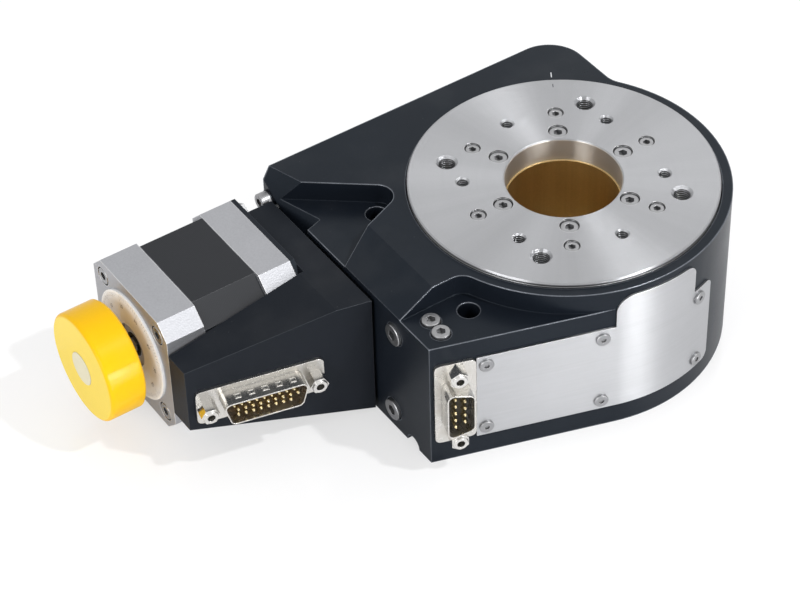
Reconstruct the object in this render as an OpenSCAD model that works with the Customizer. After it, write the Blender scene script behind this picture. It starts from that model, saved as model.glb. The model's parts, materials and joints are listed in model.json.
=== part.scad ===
// Hollow rotary platform: a worm-driven turntable with a stepping motor.
// Millimetres. The origin is on the turning axis, on the base plane, with +Z up.
// The motor lies towards -X, and the sensor connector faces -Y.

/* [Housing] */
// Height of the housing deck above the base
housing_h = 53; // [50:0.5:60]
// Radius of the round part around the platform
round_r = 50; // [49:0.5:54]
// Distance of the flat end face on the motor side from the turning axis
end_x = 69.5; // [66:0.5:76]
// Distance of the straight back side from the turning axis
back_y = 57.4; // [55:0.1:64]
// Reach of the worm lobe beyond the turning axis
lobe_x = 40.5; // [38:0.5:45]
// Corner radius of the worm lobe
lobe_corner_r = 12; // [6:1:14]
// Radius of the hollow blend between the lobe and the round
lobe_blend_r = 8; // [6:1:20]
// Height of the front shelf and of the pocket floor
shelf_h = 46; // [42:0.5:48]
// Distance from the axis line of the wall behind the shelf
shelf_wall_y = 15.3; // [14:0.1:18]
// Radius of the shelf's inner corner
shelf_corner_r = 5; // [4:0.5:9]
// Angle of the sensor face to the X axis
sensor_face_turn = 18.2; // [10:0.1:22]
// Distance of the sensor face from the turning axis
sensor_face_d = 50; // [49:0.5:54]
// Width of the ramp that falls from the deck to the end face
ramp_w = 11.5; // [8:0.5:16]
// Plan angle of the steep facet behind the pocket
facet_turn = 17.6; // [5:0.1:25]
// Slope of the steep facet behind the pocket
facet_slope = 62; // [50:1:75]
// Half width of the pocket's round end
pocket_r = 5.2; // [5:0.1:6]
// Angle of the pocket's far wall
pocket_far_angle = 39; // [30:1:50]
// Angle of the pocket's near wall
pocket_near_angle = 22; // [15:1:35]

/* [Mounting pattern] */
// Turn of the hole patterns and of the mounting grid against the motor axis
pattern_turn = -2.25; // [-10:0.05:10]
// Distance of the mounting holes from the turning axis along the grid
mount_grid_x = 50; // [48:0.5:52]
// Half distance between the two mounting holes
mount_grid_y = 25; // [23:0.5:26]
// Diameter of the mounting holes for M6 screws
mount_hole_d = 6.6; // [6.4:0.1:7]

/* [Platform] */
// Diameter of the turning platform
platform_d = 93; // [88:0.5:93]
// Thickness of the platform
platform_t = 8; // [7:0.5:10]
// Height of the platform face above the deck
platform_rise = 1.4; // [0.8:0.1:3]
// Diameter of the clear bore in the platform
bore_d = 35; // [32:0.5:36]
// Radius of the circle of four M6 holes, half the diagonal of a 50 mm square
m6_circle_r = 35.355; // [34.5:0.005:37]
// Tapping diameter of the M6 holes
m6_hole_d = 5; // [4.8:0.1:5.4]
// Radius of the circle of six M4 holes
m4_circle_r = 30; // [29:0.25:31]
// Tapping diameter of the M4 holes
m4_hole_d = 3.3; // [3.2:0.1:3.6]
// Radius of the circle of hub screws
hub_screw_r = 21.5; // [21:0.1:22]
// Radius of the circle of bearing ring screws
ring_screw_r = 30.2; // [29.5:0.05:30.6]
// Gap round the platform's rim
rim_gap = 0.4; // [0.3:0.05:0.6]

/* [Main bearing] */
// Radius of the circle that the balls run on
ball_circle_r = 36; // [35.5:0.1:36.5]
// Diameter of a main bearing ball
ball_d = 5; // [4:0.1:5.2]
// Number of main bearing balls
ball_count = 30; // [18:1:36]
// Height of the bearing's outer ring
ring_h = 8; // [7.5:0.5:8.5]
// Clearance between a ball and its groove
ball_clear = 0.08; // [0.05:0.01:0.1]

/* [Worm drive] */
// Distance from the turning axis to the worm axis
worm_y = 41; // [40.5:0.1:41.3]
// Height of the worm and motor axis above the base
worm_z = 25; // [24.5:0.25:25.5]
// Number of teeth on the worm wheel
wheel_teeth = 90; // [89:1:91]
// Module of the worm wheel
wheel_module = 0.75; // [0.74:0.01:0.76]
// Face width of the worm wheel
wheel_face = 10; // [8:0.5:11]
// Number of thread turns on the worm
worm_turns = 10; // [8:2:12]
// Play between the worm thread and the wheel teeth on each side
mesh_play = 0.19; // [0.18:0.01:0.21]

/* [Motor] */
// Width across the flats of the motor
motor_w = 42.3; // [42:0.1:42.6]
// Distance from the turning axis to the motor's mounting face
motor_face_x = 81.2; // [80.5:0.1:84]
// Length of the front bell
front_bell_l = 10.9; // [10:0.1:13]
// Length of the laminated stator
stator_l = 21.7; // [18:0.1:30]
// Length of the rear bell
rear_bell_l = 12.5; // [11:0.5:14]
// Distance between the motor's corner screws
motor_screw_pitch = 31; // [30.6:0.1:31.4]
// Diameter of the motor shaft
shaft_d = 5; // [4:0.5:6]
// Diameter of the hand knob
knob_d = 34.6; // [28:0.2:38]
// Thickness of the hand knob
knob_l = 12; // [10:0.1:14]
// Gap between the knob and the motor's rear face
knob_gap = 5.8; // [5:0.1:8]

/* [Motor bracket] */
// Height of the bracket's top
bracket_h = 45; // [43:0.1:45.5]
// Gap of the groove between the bracket and the housing
bracket_groove = 1.2; // [0.8:0.1:1.6]
// Y of the bracket's back end
bracket_back_y = 51.2; // [51:0.1:51.3]
// Y of the bracket's front face where it meets the housing
bracket_front_y = -2.6; // [-4:0.1:0]
// Angle of the connector face to the X axis
bracket_turn = 13.3; // [10:0.1:15]
// Height of the connector box at its far end
box_end_top = 37; // [35:0.5:40]
// Height of the box's underside at its far end
box_end_bottom = 14; // [10:0.5:15]
// Height of the box's underside at the housing
box_root_bottom = 1.4; // [1:0.1:4]
// Wall thickness of the connector box
box_wall = 2.4; // [2:0.1:3]
// Distance along the face from the housing to the controller connector
controller_offset = 35.4; // [33:0.1:37]
// Height of the controller connector's centre
controller_z = 22.6; // [21:0.1:25]

/* [Sensor side] */
// Distance along the sensor face from its tangent point to the connector
sensor_offset = 49.3; // [47:0.1:50]
// Height of the sensor connector's centre
sensor_z = 24; // [23:0.1:26]
// Thickness of the side cover
side_cover_t = 0.6; // [0.5:0.1:1]
// Lower edge of the side cover
side_cover_bottom = 7.6; // [6:0.1:9]
// Upper edge of the side cover's low part
side_cover_top = 39.3; // [37:0.1:41]
// Upper edge of the side cover's high part
side_cover_step_top = 50.6; // [46:0.1:51.5]
// Angle over which the high part wraps round the housing
side_cover_step_angle = 30.5; // [25:0.5:35]
// Angle over which the side cover wraps round the housing
side_cover_angle = 40; // [37:0.5:44]

/* [Hidden] */

$fn = 64;
eps = 0.01;          // overlap of a cutter past the face that it opens
past = 1;            // reach of a through cut past its faces
lap = 1;             // depth to which one solid of a turned shaft runs into the next
over = 0.1;          // reach of a chamfer cut past its face
seat_clear = 0.02;   // radial clearance of a ring on its seat
thread_clear = 0.05; // radial clearance of a screw in its tapped hole
head_clear = 0.25;   // radial clearance of a screw head in its counterbore

// Screw sizes: shank, head diameter, head height, hexagon across flats
m25 = [2.5, 4.5, 2.5, 2];
m3 = [3, 5.5, 3, 2.5];
m4 = [4, 7, 4, 3];
cover_m24 = [2.4, 4.4, 1.2, 1.6];
cover_m25 = [2.5, 4.4, 0.8, 1.5];
head_edge = 0.2;          // chamfer of a screw head
socket_floor = 0.45;      // height of the socket's floor, as a share of the head
flat_socket_depth = 1.1;  // the same of a countersunk screw, from its top
flat_socket_share = 0.8;  // its hexagon, as a share of a cap screw's
nut_flats = 5.5;
nut_h = 2.4;

// Heights inside the housing
platform_top = housing_h + platform_rise;
platform_bottom = platform_top - platform_t;
platform_gap = 1.9;      // from the outer ring's top to the platform
ring_bottom = platform_bottom - ring_h - platform_gap;
ball_z = ring_bottom + ring_h/2;
cage_inset = 0.8;
cage_h = ring_h - 2*cage_inset;
cage_half_w = 1.1;
cage_play = 0.1;
recess_floor = ring_bottom + ring_h;
base_cover_t = 3.5;
base_cover_r = 44;
base_cover_gap = 0.05;
base_hole_room = 0.5;    // the base cover's hole is this much wider than the bore, in radius
base_screw_r = 40.5;
base_screw_turn = 15;
base_screw_l = 7;
base_hole_depth = 5;
cavity_floor = base_cover_t;
platform_recess_r = platform_d/2 + rim_gap;

// The round and the sensor face move out together where a larger platform needs the room
rim_wall = 2.5;
rim_grow = max(0, platform_recess_r + rim_wall - round_r);
wall_r = round_r + rim_grow;
face_d = sensor_face_d + rim_grow;

// Main bearing radii
ring_land = 1.8;         // from the ball circle to the rings' lands
inner_ring_in_r = 25.6;
inner_ring_out_r = ball_circle_r - ring_land;
inner_ring_lift = 0.1;
outer_ring_in_r = ball_circle_r + ring_land;
outer_ring_out_r = 46;
bearing_screw_r = 42.4;
bearing_head_sink = 0.3;
bearing_hole_depth = 7;
bearing_tip_room = 0.7;
hub_head_sink = 0.5;
hub_hole_depth = 9;
hub_grip = 7.5;
ring_head_sink = 0.4;
ring_hole_depth = 7;
ring_grip = 5.9;
// Bearing screws stand every 30 degrees, but not over the worm
bearing_screw_angles = [for (i = [0:8]) 150 + 30*i];

// Worm wheel and worm
wheel_r = wheel_teeth*wheel_module/2;
wheel_tip_r = wheel_r + wheel_module;
root_share = 1.25;       // depth of a tooth root below the pitch line, in modules
wheel_root_r = wheel_r - root_share*wheel_module;
bore_step = 0.4;         // ledge between the platform's bore and the wheel's
wheel_bore_r = bore_d/2 - bore_step;
hub_gap = 0.4;
wheel_hub_r = inner_ring_in_r - hub_gap;
wheel_low_hub_r = 22.2;
wheel_floor_gap = 1;
wheel_bottom = cavity_floor + wheel_floor_gap;
wheel_tip_gap = 2.3;
cavity_r = wheel_tip_r + wheel_tip_gap;
worm_r = worm_y - wheel_r;
worm_tip_r = worm_r + wheel_module;
worm_root_r = worm_r - root_share*wheel_module;
worm_pitch = PI*wheel_module;
worm_l = worm_turns*worm_pitch + worm_pitch;
pressure_angle = 20;

// Ball bearings: bore radius, outer radius, width, ball radius, ball circle radius, inner and outer land radius, balls
worm_seat_d = 8;
motor_bearing_r = 8;
motor_bearing_w = 5;
motor_ball_r = 1.5;
motor_ball_circle_r = 5.2;
motor_land = 1;
worm_bearing_r = 9.5;
worm_bearing_w = 6;
worm_ball_r = 1.6;
worm_ball_circle_r = 6.75;
worm_land = 1.15;
race_clear = 0.06;
motor_bearing = [shaft_d/2, motor_bearing_r, motor_bearing_w, motor_ball_r, motor_ball_circle_r,
                 motor_ball_circle_r - motor_land, motor_ball_circle_r + motor_land, 7];
worm_bearing = [worm_seat_d/2, worm_bearing_r, worm_bearing_w, worm_ball_r, worm_ball_circle_r,
                worm_ball_circle_r - worm_land, worm_ball_circle_r + worm_land, 9];
worm_shoulder_r = 5.2;
worm_bore_r = worm_bearing_r + seat_clear;
worm_front_run = 18;
worm_rear_run = 10;
worm_stub = 1.5;
worm_front_bearing_x = -worm_l/2 - worm_front_run;   // motor-side face of the front bearing
worm_rear_bearing_x = worm_l/2 + worm_rear_run;      // motor-side face of the rear bearing
motor_bearing_inset = 6;
motor_front_bearing_x = -motor_face_x - motor_bearing_inset;
lock_nut_l = 4;
lock_nut_wall = 2.2;
lock_nut_thread = 0.5;   // thread that shows beyond the nut
end_cap_r = 10.6;
end_cap_spacer = 5;
end_cap_gap = 0.1;
end_cap_x = worm_rear_bearing_x + worm_bearing_w + end_cap_spacer;
end_cap_recess = 2.2;
end_cap_key_d = 8;
end_cap_key_depth = 2;

// Motor
motor_rear_x = -(motor_face_x + front_bell_l + stator_l + rear_bell_l);
stator_front_x = -(motor_face_x + front_bell_l);
stator_rear_x = stator_front_x - stator_l;
rear_bearing_wall = 2;
motor_rear_bearing_x = motor_rear_x + rear_bearing_wall;
bell_chamfer = 4.7;
bell_room_r = 19;
front_bell_floor = 7;
rear_bell_floor = 7.5;
bell_shaft_hole_r = 4;
stator_chamfer = 6.4;
pole_count = 8;
slot_w = 4.6;
slot_depth = 5.4;
coil_w = 4.4;
coil_t = 4;
coil_gap = 1.2;
coil_end = 3;            // reach of a coil beyond the stator
rotor_r = 13;
rotor_gap = 0.4;
rotor_inset = 1;
rotor_waist_l = 2;
rotor_waist_depth = 1.5;
motor_head_sink = 3;
motor_head_hole_d = 6.2;
motor_screw_grip = 3;
motor_plate_t = 1.5;
pilot_r = 11;
pilot_h = 0.5;
pilot_clear = 0.1;
knob_back_x = motor_rear_x - knob_gap;
knob_front_x = knob_back_x - knob_l;
knob_edge_r = 1.2;
knob_back_chamfer = 0.8;
knob_floor = 2.2;
knob_cap_r = 5.3;
knob_cap_gap = 0.05;
knob_cap_depth = 0.5;
knob_cap_rise = 0.15;
set_screw_z = 6.5;       // from the knob's front
set_screw_l = 8;
set_screw_gap = 0.1;
set_screw_flats = 1.5;
set_screw_socket = 1.5;
scale_ring_t = 0.8;
scale_ring_r = 17.8;
scale_ring_in_r = 7;

// Coupling
coupling_r = 7.5;
coupling_bore_r = 9;
coupling_hub_l = 7.5;
spider_l = 5;
motor_hub_gap = 3.6;
shaft_end_inset = 0.6;
motor_hub_x = -motor_face_x + motor_hub_gap;
spider_x = motor_hub_x + coupling_hub_l;
worm_hub_x = spider_x + spider_l;
worm_shaft_front_x = worm_hub_x + shaft_end_inset;
motor_shaft_front_x = spider_x - shaft_end_inset;
spider_gap = 0.4;
spider_inset = 0.2;
spider_core_r = 0.8;
spider_arm_w = 2.2;
jaw_l = 3.6;
jaw_w = 3.2;
jaw_in_r = 3.8;
clamp_hole_d = 2.5;
clamp_place = 0.4;       // share of the hub's length

// Bracket
bracket_x = -end_x - bracket_groove;
bracket_motor_x = -motor_face_x + motor_plate_t;
box_over = 0.2;          // reach of the box beyond the motor's rear face
motor_side_gap = 0.45;
box_end_x = motor_rear_x - box_over;
box_back_y = worm_y - motor_w/2 - motor_side_gap;
box_level_x = bracket_motor_x - 1.5;
box_pad_inset = 2;
box_reach = 40;          // how far the box's side profile is drawn across the part
bracket_hole_d = 4.3;
bracket_seat = 4.4;      // from the bracket's motor side to the seats of its screws
bracket_grip = 10.2;
bracket_bore_reach = 20; // of the screw holes, to both sides of the bracket's motor side
bracket_head_run = 10;   // room for the heads in front of it
bracket_hole_depth = 12;
boss_r = 2.6;
boss_inset = 1.6;        // of the bosses' centres from the room's back wall
boss_h = 9;
cover_t = 1.6;
cover_rise = 0.3;        // the cover lies this far inside the box's underside
cover_lip = 1;           // step round the room in which the cover lies
cover_edge_gap = 0.1;
cover_screw_inset = 5.4;
cover_screw_l = 7;
cover_hole_depth = 8;
cover_screw_places = [box_end_x + cover_screw_inset, bracket_motor_x - cover_screw_inset];

// D-shaped connectors: flange length, shell length
de_size = [30.8, 17];
da_size = [39.2, 25.3];
dsub_flange_w = 12.5;
dsub_flange_t = 1;
dsub_shell_w = 8.4;
dsub_shell_h = 6;
dsub_wall = 0.4;
dsub_back_w = 10.4;
dsub_back_depth = 5;
dsub_flange_r = 1.8;
dsub_shell_r = 2;
dsub_room_r = 1.6;       // corner radius inside the shell
dsub_slant = 10;
window_room = 1.2;       // room round the back of a connector, lengthwise
window_gap = 0.4;        // the same across
window_r = 1.5;
insulator_rise = 1.2;    // height of the insulator above the flange
insulator_gap = 0.1;
insulator_back = 0.6;    // its back is this much longer than the shell
insulator_back_in = 1;
pin_d = 1;
pin_clear = 0.02;
pin_tip_d = 0.5;
pin_tip_l = 0.5;
pin_rise = 4.4;
pin_tail = 1.4;
jack_flats = 5;
jack_h = 4.4;
jack_tip_l = 0.6;
jack_tip_d = [4.8, 4.2];
jack_bore_d = 2.4;
jack_floor = 1;
jack_hole_depth = 6;
jack_l = 5;
de_jack_pitch = 25;
da_jack_pitch = 33.3;

// Directions of the two slanted faces
sensor_n = [-sin(sensor_face_turn), -cos(sensor_face_turn)];
sensor_e = [cos(sensor_face_turn), -sin(sensor_face_turn)];
tangent_angle = -90 - sensor_face_turn;
front_corner_y = (face_d - (-end_x)*sensor_n[0])/sensor_n[1];
bay_depth = 8;
bay_left = -36;
bay_right = -12;
bay_bottom = 11;
bay_top = 37;
bay_channel_left = -54;
bay_channel_half = 8;
bay_connector_room = 4;
wire_hole_place = [-16, 14];
wire_hole_d = 6;
wire_hole_depth = 18;

// ---------- helpers ----------

function turned(p, a) = [p[0]*cos(a) - p[1]*sin(a), p[0]*sin(a) + p[1]*cos(a)];
function polar(r, a) = [r*cos(a), r*sin(a)];

mount_holes = [for (s = [-1, 1]) turned([-mount_grid_x, s*mount_grid_y], pattern_turn)];

// Local +Z points along +X, from the drive axis at x
module on_drive(x) {
    translate([x, worm_y, worm_z]) rotate([0, 90, 0]) children();
}

// Local X runs along the sensor face, local Y up and local Z outwards
module on_sensor_face(s, z) {
    p = sensor_n*face_d + sensor_e*s;
    translate([p[0], p[1], z]) rotate([90, 0, -sensor_face_turn]) children();
}

// The same on the bracket's connector face, s from its edge at the housing
module on_bracket_face(s, z) {
    translate([bracket_x - s*cos(bracket_turn), bracket_front_y + s*sin(bracket_turn), z])
        rotate([90, 0, -bracket_turn]) children();
}

module ring_of(n, r, start = 0) {
    for (i = [0:n - 1]) rotate([0, 0, start + 360*i/n]) translate([r, 0, 0]) children();
}

module at_base_screws() {
    ring_of(6, base_screw_r, base_screw_turn) children();
}

module at_bearing_screws() {
    for (a = bearing_screw_angles) rotate([0, 0, a]) translate([bearing_screw_r, 0, 0]) children();
}

module tube(r_out, r_in, h) {
    difference() {
        cylinder(r = r_out, h = h);
        translate([0, 0, -eps]) cylinder(r = r_in, h = h + 2*eps);
    }
}

// Socket cap screw: seat at z = 0, head upwards, shank downwards
module cap_screw(size, l) {
    difference() {
        union() {
            cylinder(d = size[1], h = size[2] - head_edge);
            translate([0, 0, size[2] - head_edge]) cylinder(d1 = size[1], d2 = size[1] - 2*head_edge, h = head_edge);
            translate([0, 0, -l]) cylinder(d = size[0], h = l + eps);
        }
        translate([0, 0, size[2]*socket_floor]) cylinder(d = size[3]/cos(30), h = size[2], $fn = 6);
    }
}

// Countersunk screw: head flush with z = 0
module flat_screw(size, l) {
    head_h = (size[1] - size[0])/2;
    difference() {
        union() {
            translate([0, 0, -head_h]) cylinder(d1 = size[0], d2 = size[1], h = head_h);
            translate([0, 0, -l]) cylinder(d = size[0], h = l - head_h + eps);
        }
        translate([0, 0, -flat_socket_depth])
            cylinder(d = size[3]*flat_socket_share/cos(30), h = flat_socket_depth + past, $fn = 6);
    }
}

module screw_hole(size, l) {
    translate([0, 0, -l]) cylinder(d = size[0] + 2*thread_clear, h = l + eps);
}

module flat_hole(size, l) {
    head_h = (size[1] - size[0])/2 + thread_clear;
    screw_hole(size, l);
    translate([0, 0, -head_h]) cylinder(d1 = size[0] + 2*thread_clear, d2 = size[1] + 4*thread_clear, h = head_h + eps);
}

// Counterbore with its seat at z = 0, open upwards
module head_hole(size, up) {
    cylinder(d = size[1] + 2*head_clear, h = up + eps);
}

// ---------- housing ----------

module housing_outline() {
    tangent = sensor_n*face_d;
    blend_c = [lobe_x + lobe_blend_r, sqrt(pow(wall_r + lobe_blend_r, 2) - pow(lobe_x + lobe_blend_r, 2))];
    circle(r = wall_r, $fn = 128);
    polygon([[-end_x, front_corner_y], tangent, [0, 0], [-end_x, 0]]);
    translate([-end_x, -eps]) square([end_x + lobe_x - lobe_corner_r, back_y + eps]);
    translate([0, -eps]) square([lobe_x, back_y - lobe_corner_r + eps]);
    translate([lobe_x - lobe_corner_r, back_y - lobe_corner_r]) circle(r = lobe_corner_r);
    difference() {
        polygon([[lobe_x - past, blend_c[1]], [lobe_x, blend_c[1]], blend_c,
                 blend_c*wall_r/(wall_r + lobe_blend_r), [lobe_x - past, 0.4*wall_r]]);
        translate(blend_c) circle(r = lobe_blend_r, $fn = 96);
    }
}

// The raised deck: the round, all that lies behind the shelf's wall, and the blend between them
module deck_outline() {
    c = [-sqrt(pow(wall_r + shelf_corner_r, 2) - pow(shelf_wall_y + shelf_corner_r, 2)),
         -shelf_wall_y - shelf_corner_r];
    intersection() {
        housing_outline();
        union() {
            circle(r = wall_r, $fn = 128);
            translate([-end_x - past, -shelf_wall_y]) square([2*end_x, back_y + shelf_wall_y + past]);
            difference() {
                polygon([[c[0], -shelf_wall_y + past], [c[0], -shelf_wall_y], c, c*wall_r/(wall_r + shelf_corner_r),
                         [-0.8*wall_r, -shelf_wall_y + shelf_corner_r]]);
                translate(c) circle(r = shelf_corner_r);
            }
        }
    }
}

module pocket_outline() {
    reach = 8;   // past the end face
    c = mount_holes[1];
    far = [sin(pocket_far_angle), cos(pocket_far_angle)]*pocket_r;
    near = [sin(pocket_near_angle), -cos(pocket_near_angle)]*pocket_r;
    run = end_x + c[0] + reach;
    translate(c) circle(r = pocket_r);
    polygon([c, c + near, c + near + [-run, -run*tan(pocket_near_angle)],
             c + far + [-run, run*tan(pocket_far_angle)], c + far]);
}

// Cutter that leaves the ramp between the deck and the end face, in front of the pocket
module ramp_cut() {
    foot_rise = 0.3;   // the ramp's foot stands this far above the shelf
    margin = 2;        // past the wall behind the shelf
    drop = housing_h - shelf_h - foot_rise;
    slope = atan(drop/ramp_w);
    translate([-end_x + ramp_w, -shelf_wall_y - margin, housing_h]) rotate([0, -slope, 0])
        translate([-end_x, 0, 0]) cube([end_x, shelf_wall_y + mount_holes[1][1], housing_h]);
}

// Cutter that leaves the steep facet behind the pocket
module facet_cut() {
    inset = 6.7;     // of the facet's upper edge from the end face
    along = 16.6;    // from the mounting hole to the middle of the turn
    before = 8;
    after = 42;
    translate([-end_x + inset, mount_holes[1][1] + along, housing_h]) rotate([0, 0, facet_turn])
        rotate([0, -facet_slope, 0]) translate([-end_x/2, -before, 0]) cube([end_x/2, before + after, end_x/2]);
}

module sensor_bay() {
    on_sensor_face(bay_left, bay_bottom) translate([0, 0, -bay_depth])
        cube([bay_right - bay_left, bay_top - bay_bottom, bay_depth + eps]);
    on_sensor_face(bay_channel_left, sensor_z - bay_channel_half) translate([0, 0, -bay_depth])
        cube([bay_right - bay_channel_left, 2*bay_channel_half, bay_depth + eps]);
    on_sensor_face(-sensor_offset, sensor_z) translate([0, 0, -bay_depth])
        linear_extrude(bay_depth + eps)
            polygon(d_outline(de_size[1] + bay_connector_room, dsub_back_w + 2*window_gap, window_r, 90));
    on_sensor_face(wire_hole_place[0], wire_hole_place[1]) translate([0, 0, -wire_hole_depth])
        cylinder(d = wire_hole_d, h = wire_hole_depth);
}

module housing() {
    color("#1c1e22") difference() {
        union() {
            linear_extrude(shelf_h) housing_outline();
            linear_extrude(housing_h) deck_outline();
        }
        // main cavity, from the top down
        translate([0, 0, recess_floor]) cylinder(r = platform_recess_r, h = housing_h, $fn = 128);
        translate([0, 0, ring_bottom]) cylinder(r = outer_ring_out_r + seat_clear, h = ring_h + eps, $fn = 128);
        translate([0, 0, cavity_floor]) cylinder(r = cavity_r, h = ring_bottom, $fn = 96);
        translate([0, 0, -eps]) cylinder(r = base_cover_r, h = cavity_floor + eps, $fn = 96);
        // sloped faces, pocket and mounting holes
        ramp_cut();
        facet_cut();
        translate([0, 0, shelf_h]) linear_extrude(housing_h) pocket_outline();
        for (p = mount_holes) translate([p[0], p[1], -past]) cylinder(d = mount_hole_d, h = housing_h + 2*past);
        // drive line
        on_drive(-end_x - past) cylinder(r = coupling_bore_r, h = 2*past + end_x + worm_front_bearing_x);
        on_drive(worm_front_bearing_x) cylinder(r = worm_bore_r, h = end_cap_x - worm_front_bearing_x + past);
        on_drive(end_cap_x) cylinder(r = end_cap_r + thread_clear, h = end_x);
        sensor_bay();
        // screw holes
        at_bearing_screws() translate([0, 0, ring_bottom]) screw_hole(m3, bearing_hole_depth);
        at_base_screws() translate([0, 0, cavity_floor + base_hole_depth]) screw_hole(m25, base_hole_depth + eps);
        for (p = shelf_screw_places) translate([p[0], p[1], shelf_h - shelf_head_sink]) {
            screw_hole(m3, shelf_hole_depth);
            head_hole(m3, shelf_head_sink + past);
        }
        for (p = end_screw_places) translate([-end_x + end_head_sink, p[0], p[1]]) rotate([0, -90, 0]) {
            screw_hole(m4, end_hole_depth);
            head_hole(m4, end_head_sink + past);
        }
        at_preload(0) screw_hole(m3, preload_hole_depth);
        for (p = bracket_screw_places) translate([-end_x, p[0], p[1]]) rotate([0, -90, 0])
            screw_hole(m4, bracket_hole_depth);
        for (p = side_screw_places) on_side_cover(p) screw_hole(m25, side_hole_depth);
        for (s = [-1, 1]) on_sensor_face(-sensor_offset, sensor_z + s*de_jack_pitch/2) screw_hole(m3, jack_hole_depth);
        // half-round notch in the lower edge of the end face
        translate([-end_x - past, notch_y, 0]) rotate([0, 90, 0]) cylinder(r = notch_r, h = notch_l + past);
    }
}

shelf_screw_places = [[-end_x + 7.2, -20.5], [-end_x + 6.7, -26.2]];
shelf_head_sink = 2;
shelf_hole_depth = 8;
shelf_screw_l = 5.5;
end_screw_places = [[-12.3, shelf_h - 7.4], [-10.9, 7.1]];
end_head_sink = 3;
end_hole_depth = 10;
end_screw_l = 9;
preload_inset = 2.9;     // from the back side
preload_drop = 9.8;      // below the deck
preload_y = back_y - preload_inset;
preload_z = housing_h - preload_drop;
preload_hole_depth = 10;
preload_l = 9;
preload_washer_r = 2.85;
preload_washer_in_r = 1.6;
preload_washer_t = 0.6;
notch_y = -20.6;
notch_r = 3;
notch_l = 4;
bracket_screw_places = [[8.5, 8], [8.5, bracket_h - 8], [46.8, 10], [46.8, bracket_h - 5.4]];

module base_cover() {
    color("#26282c") difference() {
        cylinder(r = base_cover_r - base_cover_gap, h = base_cover_t, $fn = 96);
        translate([0, 0, -past]) cylinder(r = bore_d/2 + base_hole_room, h = base_cover_t + 2*past, $fn = 96);
        at_base_screws() mirror([0, 0, 1]) flat_hole(m25, base_cover_t + past);
    }
}

module base_cover_screws() {
    color("#b9bcc0") at_base_screws() translate([0, 0, thread_clear]) mirror([0, 0, 1]) flat_screw(m25, base_screw_l);
}

// ---------- platform and main bearing ----------

module platform() {
    chamfer = 0.4;
    bore_chamfer = 0.4;
    m6_mouth_d = 6.6;
    m4_mouth_d = 4.4;
    color("#c9ccd0") difference() {
        union() {
            translate([0, 0, platform_bottom]) cylinder(d = platform_d, h = platform_t - chamfer, $fn = 128);
            translate([0, 0, platform_top - chamfer])
                cylinder(d1 = platform_d, d2 = platform_d - 2*chamfer, h = chamfer, $fn = 128);
        }
        translate([0, 0, platform_bottom - past]) cylinder(d = bore_d, h = platform_t + 2*past, $fn = 96);
        translate([0, 0, platform_top - bore_chamfer])
            cylinder(d1 = bore_d, d2 = bore_d + 2*(bore_chamfer + over), h = bore_chamfer + over, $fn = 96);
        rotate([0, 0, pattern_turn]) {
            ring_of(4, m6_circle_r, 45) tapped(m6_hole_d, m6_mouth_d);
            ring_of(6, m4_circle_r, 30) tapped(m4_hole_d, m4_mouth_d);
            ring_of(6, hub_screw_r) translate([0, 0, hub_seat_z]) {
                head_hole(m3, platform_top - hub_seat_z + past);
                screw_hole(m3, platform_t);
            }
            ring_of(6, ring_screw_r) translate([0, 0, ring_seat_z]) {
                head_hole(m25, platform_top - ring_seat_z + past);
                screw_hole(m25, platform_t);
            }
        }
    }
}

// Tapped through hole with a countersunk mouth in the platform's face
module tapped(d, mouth) {
    translate([0, 0, platform_bottom - past]) cylinder(d = d, h = platform_t + 2*past, $fn = 32);
    translate([0, 0, platform_top - (mouth - d)/2])
        cylinder(d1 = d, d2 = mouth + 2*over, h = (mouth - d)/2 + over, $fn = 32);
}

hub_seat_z = platform_top - m3[2] - hub_head_sink;
ring_seat_z = platform_top - m25[2] - ring_head_sink;

module hub_screws() {
    color("#a9acb0") rotate([0, 0, pattern_turn]) ring_of(6, hub_screw_r) translate([0, 0, hub_seat_z])
        cap_screw(m3, hub_seat_z - platform_bottom + hub_grip);
}

module ring_screws() {
    color("#a9acb0") rotate([0, 0, pattern_turn]) ring_of(6, ring_screw_r) translate([0, 0, ring_seat_z])
        cap_screw(m25, ring_seat_z - platform_bottom + ring_grip);
}

module ball_groove() {
    translate([0, 0, ball_z]) rotate_extrude($fn = 128) translate([ball_circle_r, 0]) circle(r = ball_d/2 + ball_clear, $fn = 48);
}

bearing_seat_z = recess_floor - m3[2] - bearing_head_sink;

module bearing_outer_ring() {
    color("#9aa0a6") difference() {
        translate([0, 0, ring_bottom]) tube_96(outer_ring_out_r, outer_ring_in_r, ring_h);
        ball_groove();
        at_bearing_screws() translate([0, 0, bearing_seat_z]) {
            head_hole(m3, recess_floor - bearing_seat_z + past);
            screw_hole(m3, ring_h);
        }
    }
}

module tube_96(r_out, r_in, h) {
    difference() {
        cylinder(r = r_out, h = h, $fn = 96);
        translate([0, 0, -past]) cylinder(r = r_in, h = h + 2*past, $fn = 96);
    }
}

module bearing_inner_ring() {
    color("#8f959b") difference() {
        translate([0, 0, ring_bottom + inner_ring_lift])
            tube_96(inner_ring_out_r, inner_ring_in_r, platform_bottom - ring_bottom - inner_ring_lift);
        ball_groove();
        rotate([0, 0, pattern_turn]) ring_of(6, ring_screw_r) translate([0, 0, platform_bottom])
            screw_hole(m25, ring_hole_depth);
    }
}

module bearing_balls() {
    color("#d9dcdf") translate([0, 0, ball_z]) ring_of(ball_count, ball_circle_r) sphere(d = ball_d, $fn = 32);
}

module bearing_cage() {
    color("#b08d57") translate([0, 0, ball_z]) difference() {
        translate([0, 0, -cage_h/2]) tube_96(ball_circle_r + cage_half_w, ball_circle_r - cage_half_w, cage_h);
        ring_of(ball_count, ball_circle_r - cage_half_w - past) rotate([0, 90, 0])
            cylinder(d = ball_d + 2*cage_play, h = 2*(cage_half_w + past), $fn = 32);
    }
}

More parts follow.
